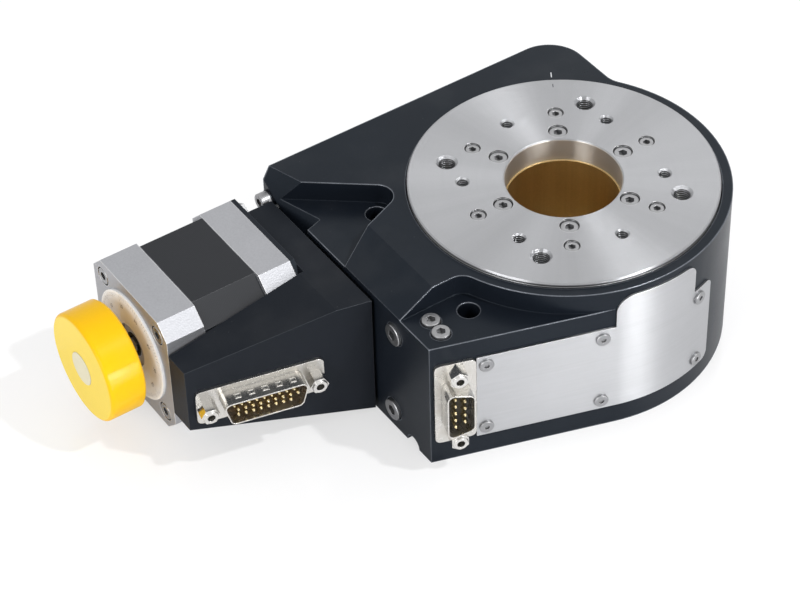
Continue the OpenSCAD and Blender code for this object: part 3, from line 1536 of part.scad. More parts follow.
end_face_screws();
preload_screw();
preload_washer();
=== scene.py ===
import json
import math

import bmesh
import bpy
from mathutils import Matrix, Vector


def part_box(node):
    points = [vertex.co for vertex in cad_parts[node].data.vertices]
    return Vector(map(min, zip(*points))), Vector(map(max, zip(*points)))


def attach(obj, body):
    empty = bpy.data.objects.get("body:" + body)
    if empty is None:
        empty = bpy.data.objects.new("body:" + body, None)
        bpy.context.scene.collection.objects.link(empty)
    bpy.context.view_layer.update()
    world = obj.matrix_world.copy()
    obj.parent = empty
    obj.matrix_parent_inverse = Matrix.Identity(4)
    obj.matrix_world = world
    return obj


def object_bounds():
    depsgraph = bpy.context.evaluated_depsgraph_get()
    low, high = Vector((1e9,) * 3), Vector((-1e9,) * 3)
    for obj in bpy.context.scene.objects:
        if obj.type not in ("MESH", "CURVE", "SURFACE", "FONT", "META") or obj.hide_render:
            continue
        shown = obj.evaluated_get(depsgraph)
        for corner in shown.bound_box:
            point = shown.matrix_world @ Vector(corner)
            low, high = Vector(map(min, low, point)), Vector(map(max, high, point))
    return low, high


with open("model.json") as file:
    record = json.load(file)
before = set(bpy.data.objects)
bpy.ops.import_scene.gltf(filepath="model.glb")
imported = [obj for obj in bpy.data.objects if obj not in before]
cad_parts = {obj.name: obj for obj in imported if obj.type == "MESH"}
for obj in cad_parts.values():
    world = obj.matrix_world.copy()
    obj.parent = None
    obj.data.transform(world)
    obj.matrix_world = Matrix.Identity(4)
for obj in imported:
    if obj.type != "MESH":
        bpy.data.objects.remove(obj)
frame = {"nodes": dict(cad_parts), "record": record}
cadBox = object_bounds()  # the solids alone
nodes = frame["nodes"]
mm = 0.001
print("frame loaded:", len(nodes), "solids")

# ---- camera ----
cameraSetup = {
    "lens": 124.69,  # mm on a 36 mm sensor
    "turn": -32.622,  # degrees round the vertical
    "height": 42.904,  # degrees above the floor
    "roll": -2.171,
    "aimRight": 55.415,  # the axis foot's place in the camera's own frame, mm
    "aimUp": -7.552,
    "distance": 857.688,
    "shiftX": 0.0230,
    "shiftY": -0.0172,
}


def placeCamera(setup):
    turn, height, roll = (math.radians(setup[k]) for k in ("turn", "height", "roll"))
    back = Vector((math.sin(turn) * math.cos(height), -math.cos(turn) * math.cos(height), math.sin(height)))
    right = Vector((math.cos(turn), math.sin(turn), 0))
    up = back.cross(right)
    right, up = right * math.cos(roll) + up * math.sin(roll), up * math.cos(roll) - right * math.sin(roll)
    spot = (back * setup["distance"] - right * setup["aimRight"] - up * setup["aimUp"]) * mm
    data = bpy.data.cameras.new("camera")
    data.lens = setup["lens"]
    data.sensor_width = 36
    data.shift_x = setup["shiftX"]
    data.shift_y = setup["shiftY"]
    camera = bpy.data.objects.new("camera", data)
    turned = Matrix((right, up, back)).transposed().to_4x4()
    camera.matrix_world = Matrix.Translation(spot) @ turned
    bpy.context.scene.collection.objects.link(camera)
    bpy.context.scene.camera = camera


placeCamera(cameraSetup)
print("camera placed")


# ---- node helpers ----
def put(tree, kind, inputs=None, **settings):
    node = tree.nodes.new(kind)
    for name, value in settings.items():
        setattr(node, name, value)
    for key, value in (inputs or {}).items():
        if isinstance(value, bpy.types.NodeSocket):
            tree.links.new(value, node.inputs[key])
        else:
            node.inputs[key].default_value = value
    return node


def calc(tree, operation, first, second=None, third=None, clamp=False):
    values = {i: v for i, v in enumerate((first, second, third)) if v is not None}
    return put(tree, "ShaderNodeMath", values, operation=operation, use_clamp=clamp).outputs[0]


def remap(tree, value, low, high, toLow=0.0, toHigh=1.0):
    values = {"Value": value, "From Min": low, "From Max": high, "To Min": toLow, "To Max": toHigh}
    return put(tree, "ShaderNodeMapRange", values, interpolation_type="SMOOTHSTEP").outputs[0]


def blendColour(tree, factor, under, over):
    node = put(tree, "ShaderNodeMix", data_type="RGBA")
    for socket, value in ((node.inputs[0], factor), (node.inputs[6], under), (node.inputs[7], over)):
        if isinstance(value, bpy.types.NodeSocket):
            tree.links.new(value, socket)
        else:
            socket.default_value = value
    return node.outputs[2]


def newGroup(name, inputs, outputs):
    tree = bpy.data.node_groups.new(name, "ShaderNodeTree")
    for label, kind, value in inputs:
        socket = tree.interface.new_socket(name=label, in_out="INPUT", socket_type="NodeSocket" + kind)
        socket.default_value = value
    for label, kind in outputs:
        tree.interface.new_socket(name=label, in_out="OUTPUT", socket_type="NodeSocket" + kind)
    return tree, put(tree, "NodeGroupInput").outputs, put(tree, "NodeGroupOutput")


def place(tree, group, inputs=None):
    return put(tree, "ShaderNodeGroup", inputs, node_tree=group).outputs


def alongAxis(tree, vector, axis):
    return put(tree, "ShaderNodeVectorMath", {0: vector, 1: axis}, operation="DOT_PRODUCT").outputs["Value"]


def grey(level):
    return (level, level, level, 1)


def solid(colour):
    return (*colour, 1)


# ---- shared effects ----
effectLook = {
    "edgeFrom": (0.12, 0.42),  # share of open space round an edge, from no mark to full wear and painted highlight
    "breakupScale": 160.0,  # patches in which the edge wear and painted highlight are left out, per metre
    "breakupPatch": (0.35, 0.65),
    "cloudScale": 38.0,  # broad tone under the fine grain
    "threadLean": (0.3, 0.1),  # lean of a surface to the axis, from face to threaded wall
    "speckSize": (0.16, 0.06),
    "speckShare": 0.93,  # specks above this are kept
    "filmScale": 55.0,
    "filmLevel": 0.25,
    "hollow": (0.25, 0.85),  # share of closed space, from no painted shade to full painted shade
}


# mask of convex edges for worn edges and for painted highlight, a lighter colour standing in for light caught
# by the chamfers
def makeEdgeWear():
    tree, given, out = newGroup("edgeWearAndHighlight", [
        ("Width", "Float", 0.4 * mm),
        ("Amount", "Float", 1.0),
        ("Breakup", "Float", 0.3),
        ("Rounding", "Float", 0.2 * mm),
    ], [("Mask", "Float"), ("Normal", "Vector")])
    inside = put(
        tree, "ShaderNodeAmbientOcclusion", {"Distance": given["Width"]}, inside=True, only_local=True,
        samples=12,
    )
    exposed = calc(tree, "SUBTRACT", 1.0, inside.outputs["AO"])
    edge = remap(tree, exposed, *effectLook["edgeFrom"])
    spot = put(tree, "ShaderNodeTexCoord").outputs["Object"]
    patches = {"Vector": spot, "Scale": effectLook["breakupScale"], "Detail": 3.0}
    noise = put(tree, "ShaderNodeTexNoise", patches).outputs["Fac"]
    patch = remap(tree, noise, *effectLook["breakupPatch"])
    kept = calc(tree, "SUBTRACT", 1.0, calc(tree, "MULTIPLY", patch, given["Breakup"]))
    wearAndHighlight = calc(tree, "MULTIPLY", edge, calc(tree, "MULTIPLY", kept, given["Amount"]), clamp=True)
    soft = put(tree, "ShaderNodeBevel", {"Radius": given["Rounding"]}, samples=6)
    tree.links.new(wearAndHighlight, out.inputs["Mask"])
    tree.links.new(soft.outputs["Normal"], out.inputs["Normal"])
    return tree


def makeFineGrain():
    tree, given, out = newGroup("fineGrain", [
        ("Scale", "Float", 2000.0),
        ("Stretch", "Vector", (1, 1, 1)),
        ("Contrast", "Float", 0.3),
    ], [("Height", "Float"), ("Tone", "Float")])
    spot = put(tree, "ShaderNodeTexCoord").outputs["Object"]
    drawn = put(tree, "ShaderNodeVectorMath", {0: spot, 1: given["Stretch"]}, operation="MULTIPLY").outputs[0]
    grains = {"Vector": drawn, "Scale": given["Scale"], "Detail": 4.0}
    clouds = {"Vector": spot, "Scale": effectLook["cloudScale"], "Detail": 5.0, "Roughness": 0.6}
    fine = put(tree, "ShaderNodeTexNoise", grains).outputs["Fac"]
    broad = put(tree, "ShaderNodeTexNoise", clouds).outputs["Fac"]
    both = calc(tree, "ADD", calc(tree, "SUBTRACT", fine, 0.5), calc(tree, "SUBTRACT", broad, 0.5))
    tone = calc(tree, "MULTIPLY_ADD", both, given["Contrast"], 1.0)
    tree.links.new(fine, out.inputs["Height"])
    tree.links.new(tone, out.inputs["Tone"])
    return tree


def makeTurnedRings():
    tree, given, out = newGroup("turnedRings", [
        ("Centre", "Vector", (0, 0, 0)),
        ("Turn", "Vector", (0, 0, 0)),
        ("Pitch", "Float", 0.25 * mm),
        ("Wedges", "Float", 1.6),
    ], [("Radius", "Float"), ("Height", "Float"), ("PaintedSheen", "Float")])
    spot = put(tree, "ShaderNodeTexCoord").outputs["Object"]
    moved = put(tree, "ShaderNodeVectorMath", {0: spot, 1: given["Centre"]}, operation="SUBTRACT").outputs[0]
    turning = {"Vector": moved, "Rotation": given["Turn"]}
    turned = put(tree, "ShaderNodeVectorRotate", turning, rotation_type="EULER_XYZ").outputs[0]
    axes = put(tree, "ShaderNodeSeparateXYZ", {0: turned}).outputs
    flat = put(tree, "ShaderNodeCombineXYZ", {"X": axes["X"], "Y": axes["Y"]}).outputs[0]
    radius = put(tree, "ShaderNodeVectorMath", {0: flat}, operation="LENGTH").outputs["Value"]
    groove = calc(tree, "DIVIDE", calc(tree, "ADD", radius, axes["Z"]), given["Pitch"])
    ridges = put(tree, "ShaderNodeTexNoise", {"W": groove, "Scale": 1.0, "Detail": 3.0}, noise_dimensions="1D")
    # brighter and darker wedges round the turning axis: a painted sheen
    ray = put(tree, "ShaderNodeVectorMath", {0: flat}, operation="NORMALIZE").outputs[0]
    sweeps = {"Vector": ray, "Scale": given["Wedges"], "Detail": 6.0, "Roughness": 0.7}
    wedge = put(tree, "ShaderNodeTexNoise", sweeps)
    tree.links.new(radius, out.inputs["Radius"])
    tree.links.new(ridges.outputs["Fac"], out.inputs["Height"])
    tree.links.new(wedge.outputs["Fac"], out.inputs["PaintedSheen"])
    return tree


def makeThreads():
    tree, given, out = newGroup("threads", [
        ("Axis", "Vector", (0, 0, 1)),
        ("Pitch", "Float", 0.9 * mm),
    ], [("Height", "Float"), ("Wall", "Float")])
    spot = put(tree, "ShaderNodeTexCoord").outputs["Object"]
    along = alongAxis(tree, spot, given["Axis"])
    facing = put(tree, "ShaderNodeTexCoord").outputs["Normal"]
    lean = alongAxis(tree, facing, given["Axis"])
    wall = remap(tree, calc(tree, "ABSOLUTE", lean), *effectLook["threadLean"])
    turns = calc(tree, "MULTIPLY", calc(tree, "DIVIDE", along, given["Pitch"]), 2 * math.pi)
    crest = calc(tree, "MULTIPLY_ADD", calc(tree, "SINE", turns), 0.5, 0.5)
    tree.links.new(crest, out.inputs["Height"])
    tree.links.new(wall, out.inputs["Wall"])
    return tree


def makeDust():
    tree, given, out = newGroup("dust", [
        ("Amount", "Float", 0.1),
        ("Scale", "Float", 900.0),
    ], [("Mask", "Float")])
    spot = put(tree, "ShaderNodeTexCoord")
    up = put(tree, "ShaderNodeSeparateXYZ", {0: spot.outputs["Normal"]}).outputs["Z"]
    specks = put(
        tree, "ShaderNodeTexVoronoi", {"Vector": spot.outputs["Object"], "Scale": given["Scale"]},
    ).outputs
    near = remap(tree, specks["Distance"], *effectLook["speckSize"])
    rare = put(tree, "ShaderNodeSeparateColor", {0: specks["Color"]}).outputs["Red"]
    few = calc(tree, "GREATER_THAN", rare, effectLook["speckShare"])
    clouds = {"Vector": spot.outputs["Object"], "Scale": effectLook["filmScale"], "Detail": 6.0}
    cloud = put(tree, "ShaderNodeTexNoise", clouds).outputs["Fac"]
    film = calc(tree, "MULTIPLY", remap(tree, cloud, 0.45, 0.75), effectLook["filmLevel"])
    both = calc(tree, "MAXIMUM", calc(tree, "MULTIPLY", near, few), film)
    fallen = calc(tree, "MULTIPLY", both, remap(tree, up, 0.2, 0.9))
    mask = calc(tree, "MULTIPLY", fallen, given["Amount"], clamp=True)
    tree.links.new(mask, out.inputs["Mask"])
    return tree


def makeHollowShade():
    tree, given, out = newGroup("hollowShade", [
        ("Reach", "Float", 1.0 * mm),
        ("Depth", "Float", 0.8),
    ], [("Mask", "Float")])
    around = put(tree, "ShaderNodeAmbientOcclusion", {"Distance": given["Reach"]}, only_local=True, samples=8)
    closed = calc(tree, "SUBTRACT", 1.0, around.outputs["AO"])
    mask = calc(tree, "MULTIPLY", remap(tree, closed, *effectLook["hollow"]), given["Depth"], clamp=True)
    tree.links.new(mask, out.inputs["Mask"])
    return tree


edgeWearAndHighlight = makeEdgeWear()
fineGrain = makeFineGrain()
turnedRings = makeTurnedRings()
threads = makeThreads()
dust = makeDust()
hollowShade = makeHollowShade()
print("shared effects made")


# ---- materials ----
finishes = {}


def startMaterial(name):
    material = bpy.data.materials.new(name)
    material.use_nodes = True
    tree = material.node_tree
    tree.nodes.clear()
    shader = put(tree, "ShaderNodeBsdfPrincipled")
    output = put(tree, "ShaderNodeOutputMaterial")
    tree.links.new(shader.outputs[0], output.inputs[0])
    finishes[name] = material
    return tree, shader


def setShader(tree, shader, values):
    for label, value in values.items():
        if isinstance(value, bpy.types.NodeSocket):
            tree.links.new(value, shader.inputs[label])
        else:
            shader.inputs[label].default_value = value


def scaled(tree, colour, tone):
    return put(tree, "ShaderNodeVectorMath", {0: colour[:3], "Scale": tone}, operation="SCALE").outputs[0]


def bump(tree, height, strength, distance, normal=None):
    values = {"Height": height, "Strength": strength, "Distance": distance}
    if normal is not None:
        values["Normal"] = normal
    return put(tree, "ShaderNodeBump", values).outputs[0]


# black anodised aluminium: the housing, the bracket, the covers
blackAnodised = {
    "black_anodised": {
        "colour": (0.0064, 0.0086, 0.0128), "roughness": 0.34, "specular": 0.16,
        "edge": (0.22, 0.235, 0.265), "edgeWidth": 0.52 * mm, "edgeAmount": 0.9, "thread": 0.5 * mm,
    },
    "bracket_black": {
        "colour": (0.0085, 0.0100, 0.0135), "roughness": 0.44, "specular": 0.11,
        "edge": (0.075, 0.08, 0.09), "edgeWidth": 0.28 * mm, "edgeAmount": 0.6, "thread": 0.5 * mm,
    },
    "cover_black": {
        "colour": (0.0070, 0.0086, 0.0120), "roughness": 0.40, "specular": 0.17,
        "edge": (0.09, 0.095, 0.11), "edgeWidth": 0.22 * mm, "edgeAmount": 0.5, "thread": 0.5 * mm,
    },
    "washer_black": {
        "colour": (0.010, 0.010, 0.012), "roughness": 0.38, "specular": 0.3,
        "edge": (0.2, 0.2, 0.21), "edgeWidth": 0.08 * mm, "edgeAmount": 0.5, "thread": 0.3 * mm,
    },
}


def makeBlackAnodised(name, look):
    tree, shader = startMaterial(name)
    grain = place(tree, fineGrain, {"Scale": 3200.0, "Contrast": 0.5})
    width = look["edgeWidth"]
    edge = place(
        tree, edgeWearAndHighlight, {"Width": width, "Amount": look["edgeAmount"], "Breakup": 0.35, "Rounding": width},
    )
    haze = place(tree, dust, {"Amount": 0.10, "Scale": 700.0})
    thread = place(tree, threads, {"Pitch": look["thread"]})
    base = scaled(tree, look["colour"], grain["Tone"])
    # painted highlight: a lighter, partly metallic colour along convex edges for light caught by the chamfers,
    # together with worn edges
    wearAndHighlight = blendColour(tree, edge["Mask"], base, solid(look["edge"]))
    dusty = blendColour(tree, haze["Mask"], wearAndHighlight, grey(0.25))
    rough = calc(tree, "MULTIPLY", grain["Tone"], look["roughness"])
    roughEdge = calc(tree, "MULTIPLY_ADD", edge["Mask"], -0.10, rough)
    setShader(tree, shader, {
        "Base Color": dusty,
        "Roughness": roughEdge,
        "Metallic": calc(tree, "MULTIPLY", edge["Mask"], 0.8),
        "Specular IOR Level": look["specular"],
        "Specular Tint": (0.74, 0.87, 1.0, 1),
        "Normal": bump(tree, grain["Height"], 0.05, 0.05 * mm, edge["Normal"]),
    })


for name, look in blackAnodised.items():
    makeBlackAnodised(name, look)

# the turned platform face with its bore, painted sheen and threads
platformLook = {
    "colour": (0.405, 0.41, 0.425),
    "roughness": 0.32,
    "anisotropic": 1.0,
    "edgeWidth": 0.25 * mm,
    "edgeAmount": 0.55,
    "edgeTone": 0.86,
    "boreColour": (0.56, 0.52, 0.47),
    "boreRadius": 17.6 * mm,
    "grooves": 0.11 * mm,
    "threadPitch": 0.8 * mm,
    "threadDepth": 0.35 * mm,
    "holeShade": 0.85,
    "grooveDepth": 0.05 * mm,
    "tickAngle": 57.5,  # degrees from +X
    "tickRadius": 43.3 * mm,
    "tickLength": 1.6 * mm,
    "tickWidth": 0.30 * mm,
    "tickColour": (0.10, 0.10, 0.11),
}


def makePlatform(name, look):
    tree, shader = startMaterial(name)
    rings = place(tree, turnedRings, {"Pitch": look["grooves"], "Wedges": 1.4})
    wear = {"Width": look["edgeWidth"], "Amount": look["edgeAmount"], "Breakup": 0.2, "Rounding": 0.18 * mm}
    edge = place(tree, edgeWearAndHighlight, wear)
    grain = place(tree, fineGrain, {"Scale": 2600.0, "Contrast": 0.06})
    thread = place(tree, threads, {"Pitch": look["threadPitch"]})
    # painted sheen: the face brighter and darker in wedges round its axis
    sweep = remap(tree, rings["PaintedSheen"], 0.3, 0.7, 0.94, 1.05)
    tone = calc(tree, "MULTIPLY", sweep, grain["Tone"])
    face = scaled(tree, look["colour"], tone)
    inBore = calc(tree, "LESS_THAN", rings["Radius"], look["boreRadius"])
    walled = blendColour(tree, inBore, face, solid(look["boreColour"]))
    # painted shade: the threaded holes darkened, with the thread crests less dark than the roots as painted
    # glints
    inHole = calc(tree, "MULTIPLY", thread["Wall"], calc(tree, "SUBTRACT", 1.0, inBore))
    root = calc(tree, "MULTIPLY_ADD", thread["Height"], -0.75, 1.0)
    dark = calc(tree, "MULTIPLY", calc(tree, "MULTIPLY", inHole, root), look["holeShade"])
    shaded = blendColour(tree, dark, walled, grey(0.03))
    # painted highlight: light grey along convex edges, together with worn edges
    bright = blendColour(tree, edge["Mask"], shaded, grey(look["edgeTone"]))
    turn = math.radians(look["tickAngle"])
    spot = put(tree, "ShaderNodeTexCoord").outputs["Object"]
    outward = alongAxis(tree, spot, (math.cos(turn), math.sin(turn), 0))
    across = alongAxis(tree, spot, (-math.sin(turn), math.cos(turn), 0))
    offLength = calc(tree, "ABSOLUTE", calc(tree, "SUBTRACT", outward, look["tickRadius"]))
    inLength = calc(tree, "LESS_THAN", offLength, look["tickLength"] / 2)
    inWidth = calc(tree, "LESS_THAN", calc(tree, "ABSOLUTE", across), look["tickWidth"] / 2)
    tick = calc(tree, "MULTIPLY", inLength, inWidth)
    marked = blendColour(tree, tick, bright, solid(look["tickColour"]))
    tangent = put(tree, "ShaderNodeTangent", direction_type="RADIAL", axis="Z").outputs[0]
    ringBump = bump(tree, rings["Height"], 1.0, look["grooveDepth"], edge["Normal"])
    threadHeight = calc(tree, "MULTIPLY", thread["Height"], inHole)
    threadBump = bump(tree, threadHeight, 0.9, look["threadDepth"], ringBump)
    wave = calc(tree, "MULTIPLY", rings["Height"], 0.08)
    setShader(tree, shader, {
        "Base Color": marked,
        "Metallic": 1.0,
        "Roughness": calc(tree, "ADD", wave, look["roughness"] - 0.04),
        "Anisotropic": look["anisotropic"],
        "Anisotropic Rotation": 0.25,  # the sheen runs outwards, across the turned rings
        "Tangent": tangent,
        "Normal": threadBump,
    })


makePlatform("platform_silver", platformLook)

# turned and ground round metal, each round its own axis
onAxis = {"centre": (0, 0, 0), "turn": (0, 0, 0)}
onDrive = {"centre": (0, 41 * mm, 25 * mm), "turn": (0, math.radians(-90), 0)}  # the worm's own axis
turnedMetals = {
    "bearing_steel": {
        "colour": (0.42, 0.43, 0.45), "roughness": 0.22, "pitch": 0.12 * mm, **onAxis, "edge": 0.4,
    },
    "ball_steel": {"colour": (0.62, 0.63, 0.66), "roughness": 0.06, "pitch": 0.6 * mm, **onAxis, "edge": 0.0},
    "cage_brass": {"colour": (0.60, 0.40, 0.15), "roughness": 0.30, "pitch": 0.15 * mm, **onAxis, "edge": 0.5},
    "wheel_bronze": {
        "colour": (0.68, 0.49, 0.215), "roughness": 0.42, "pitch": 0.30 * mm, **onAxis, "edge": 0.35,
    },
    "worm_steel": {"colour": (0.34, 0.35, 0.37), "roughness": 0.20, "pitch": 0.10 * mm, **onDrive, "edge": 0.6},
    "shaft_steel": {
        "colour": (0.50, 0.51, 0.53), "roughness": 0.18, "pitch": 0.08 * mm, **onDrive, "edge": 0.4,
    },
    "coupling_aluminium": {
        "colour": (0.56, 0.57, 0.60), "roughness": 0.30, "pitch": 0.16 * mm, **onDrive, "edge": 0.5,
    },
}


def makeTurned(name, look):
    tree, shader = startMaterial(name)
    lathe = {"Centre": look["centre"], "Turn": look["turn"], "Pitch": look["pitch"], "Wedges": 2.0}
    rings = place(tree, turnedRings, lathe)
    edge = place(
        tree, edgeWearAndHighlight, {"Width": 0.2 * mm, "Amount": look["edge"], "Breakup": 0.3, "Rounding": 0.15 * mm},
    )
    grain = place(tree, fineGrain, {"Scale": 1500.0, "Contrast": 0.18})
    # painted sheen: the colour brighter and darker in wedges round the turning axis
    tone = calc(tree, "MULTIPLY", grain["Tone"], remap(tree, rings["PaintedSheen"], 0.3, 0.7, 0.9, 1.08))
    base = scaled(tree, look["colour"], tone)
    # painted highlight: a lighter copy of the colour along convex edges, together with worn edges
    light = tuple(min(1.0, c * 1.2 + 0.22) for c in look["colour"])
    wave = calc(tree, "MULTIPLY_ADD", rings["Height"], 0.5, 0.75)
    setShader(tree, shader, {
        "Base Color": blendColour(tree, edge["Mask"], base, solid(light)),
        "Metallic": 1.0,
        "Roughness": calc(tree, "MULTIPLY", wave, look["roughness"]),
        "Normal": bump(tree, rings["Height"], 0.06, 0.03 * mm, edge["Normal"]),
    })


for name, look in turnedMetals.items():
    makeTurned(name, look)

# bright screws and nuts, dark screws, plated shells and pins
platedMetals = {
    "screw_steel": {
        "colour": (0.31, 0.312, 0.32), "roughness": 0.36, "stain": (0.30, 0.29, 0.28), "stainAmount": 0.18,
        "edge": 0.7, "width": 0.14 * mm,
    },
    "dark_screw": {
        "colour": (0.035, 0.036, 0.040), "roughness": 0.32, "stain": (0.10, 0.10, 0.10), "stainAmount": 0.25,
        "edge": 0.6, "width": 0.12 * mm,
    },
    "connector_nickel": {
        "colour": (0.62, 0.605, 0.575), "roughness": 0.27, "stain": (0.42, 0.36, 0.28), "stainAmount": 0.22,
        "edge": 0.5, "width": 0.14 * mm,
    },
    "jackscrew_nickel": {
        "colour": (0.64, 0.63, 0.61), "roughness": 0.22, "stain": (0.36, 0.33, 0.28), "stainAmount": 0.2,
        "edge": 0.6, "width": 0.12 * mm,
    },
    "pin_gold": {
        "colour": (0.86, 0.74, 0.46), "roughness": 0.22, "stain": (0.6, 0.38, 0.14), "stainAmount": 0.2,
        "edge": 0.3, "width": 0.05 * mm,
    },
}


def makePlated(name, look):
    tree, shader = startMaterial(name)
    grain = place(tree, fineGrain, {"Scale": 1800.0, "Stretch": (1, 1, 0.25), "Contrast": 0.12})
    width = look["width"]
    edge = place(tree, edgeWearAndHighlight, {"Width": width, "Amount": look["edge"], "Breakup": 0.2, "Rounding": width})
    spot = put(tree, "ShaderNodeTexCoord").outputs["Object"]
    clouds = {"Vector": spot, "Scale": 210.0, "Detail": 5.0, "Roughness": 0.65}
    cloud = put(tree, "ShaderNodeTexNoise", clouds).outputs["Fac"]
    stained = calc(tree, "MULTIPLY", remap(tree, cloud, 0.45, 0.75), look["stainAmount"])
    # painted shade: sockets, holes and gaps darkened where the space closes in
    deep = place(tree, hollowShade, {"Reach": 1.2 * mm, "Depth": 0.9})
    shadedInHollows = blendColour(tree, deep["Mask"], scaled(tree, look["colour"], grain["Tone"]), grey(0.03))
    base = blendColour(tree, stained, shadedInHollows, solid(look["stain"]))
    # painted highlight: a lighter copy of the colour along convex edges, together with worn edges
    light = tuple(min(1.0, c * 1.25 + 0.1) for c in look["colour"])
    setShader(tree, shader, {
        "Base Color": blendColour(tree, edge["Mask"], base, solid(light)),
        "Metallic": 1.0,
        "Roughness": calc(tree, "ADD", calc(tree, "MULTIPLY", stained, 0.4), look["roughness"]),
        "Normal": bump(tree, grain["Height"], 0.05, 0.02 * mm, edge["Normal"]),
    })


for name, look in platedMetals.items():
    makePlated(name, look)

# satin sheet of the side cover, brushed along its length
coverLook = {
    "colour": (0.44, 0.445, 0.458), "roughness": 0.37, "anisotropic": 0.8, "brush": 900.0, "scratch": 0.14,
}


def makeCoverSheet(name, look):
    tree, shader = startMaterial(name)
    brushed = {"Scale": look["brush"], "Stretch": (0.05, 0.05, 1.6), "Contrast": look["scratch"]}
    grain = place(tree, fineGrain, brushed)
    mist = place(tree, fineGrain, {"Scale": 4200.0, "Contrast": 0.05})
    edge = place(tree, edgeWearAndHighlight, {"Width": 0.18 * mm, "Amount": 0.6, "Breakup": 0.2, "Rounding": 0.12 * mm})
    tone = calc(tree, "MULTIPLY", grain["Tone"], mist["Tone"])
    setShader(tree, shader, {
        # painted highlight: light grey along convex edges, together with worn edges
        "Base Color": blendColour(tree, edge["Mask"], scaled(tree, look["colour"], tone), grey(0.85)),
        "Metallic": 1.0,
        "Roughness": calc(tree, "MULTIPLY_ADD", grain["Height"], 0.12, look["roughness"] - 0.06),
        "Anisotropic": look["anisotropic"],
        "Anisotropic Rotation": 0.25,
        "Tangent": put(tree, "ShaderNodeTangent", direction_type="RADIAL", axis="Z").outputs[0],
        "Normal": bump(tree, grain["Height"], 0.05, 0.02 * mm, edge["Normal"]),
    })


makeCoverSheet("cover_satin", coverLook)

# blasted castings of the motor's end bells
bellLook = {
    "colour": (0.37, 0.375, 0.395), "roughness": 0.46, "metal": 0.88, "edgeTone": 0.80, "grit": 1500.0,
    "pits": 1900.0, "gritBump": 0.22,
}


def makeBell(name, look):
    tree, shader = startMaterial(name)
    grit = place(tree, fineGrain, {"Scale": look["grit"], "Contrast": 0.22})
    edge = place(tree, edgeWearAndHighlight, {"Width": 0.35 * mm, "Amount": 0.7, "Breakup": 0.35, "Rounding": 0.3 * mm})
    spot = put(tree, "ShaderNodeTexCoord").outputs["Object"]
    pits = put(tree, "ShaderNodeTexVoronoi", {"Vector": spot, "Scale": look["pits"]}).outputs["Distance"]
    base = scaled(tree, look["colour"], grit["Tone"])
    rough = calc(tree, "MULTIPLY", grit["Tone"], look["roughness"])
    setShader(tree, shader, {
        # painted highlight: light grey along convex edges, together with worn edges
        "Base Color": blendColour(tree, edge["Mask"], base, grey(look["edgeTone"])),
        "Metallic": look["metal"],
        "Roughness": calc(tree, "MULTIPLY_ADD", edge["Mask"], -0.15, rough),
        "Normal": bump(
            tree, calc(tree, "ADD", grit["Height"], pits), look["gritBump"], 0.08 * mm, edge["Normal"],
        ),
    })


makeBell("motor_bell", bellLook)

# steel sheets of the stator and rotor, one stacked on the next along the shaft
laminations = {
    "stator_black": {
        "colour": (0.0078, 0.0092, 0.0125), "line": (0.30, 0.31, 0.33), "metal": 0.0, "roughness": 0.34,
        "sheet": 0.5 * mm, "bare": 0.9, "seam": 0.012,
    },
    "rotor_steel": {
        "colour": (0.30, 0.31, 0.33), "line": (0.12, 0.12, 0.13), "metal": 1.0, "roughness": 0.34,
        "sheet": 0.5 * mm, "bare": 0.3, "seam": 0.3,
    },
    "encoder_steel": {
        "colour": (0.60, 0.61, 0.63), "line": (0.30, 0.30, 0.32), "metal": 1.0, "roughness": 0.16,
        "sheet": 0.9 * mm, "bare": 0.2, "seam": 0.3,
    },
}


def makeLaminated(name, look):
    tree, shader = startMaterial(name)
    grain = place(tree, fineGrain, {"Scale": 2200.0, "Stretch": (3, 1, 1), "Contrast": 0.35})
    sheets = place(tree, threads, {"Axis": (1, 0, 0), "Pitch": look["sheet"]})
    edge = place(
        tree, edgeWearAndHighlight, {"Width": 0.4 * mm, "Amount": look["bare"], "Breakup": 0.5, "Rounding": 0.25 * mm},
    )
    # the stator's lighter line colour on its convex edges is a painted highlight; seams between sheets take the
    # line colour too
    seam = calc(tree, "MULTIPLY", remap(tree, sheets["Height"], 0.72, 1.0), look["seam"])
    seamsAndEdgeLines = calc(tree, "MAXIMUM", seam, edge["Mask"])
    setShader(tree, shader, {
        "Base Color": blendColour(
            tree, seamsAndEdgeLines, scaled(tree, look["colour"], grain["Tone"]), solid(look["line"]),
        ),
        "Metallic": look["metal"],
        "Roughness": calc(tree, "MULTIPLY", grain["Tone"], look["roughness"]),
        "Specular IOR Level": 0.3,
        "Normal": bump(tree, sheets["Height"], 0.12, 0.03 * mm, edge["Normal"]),
    })


for name, look in laminations.items():
    makeLaminated(name, look)

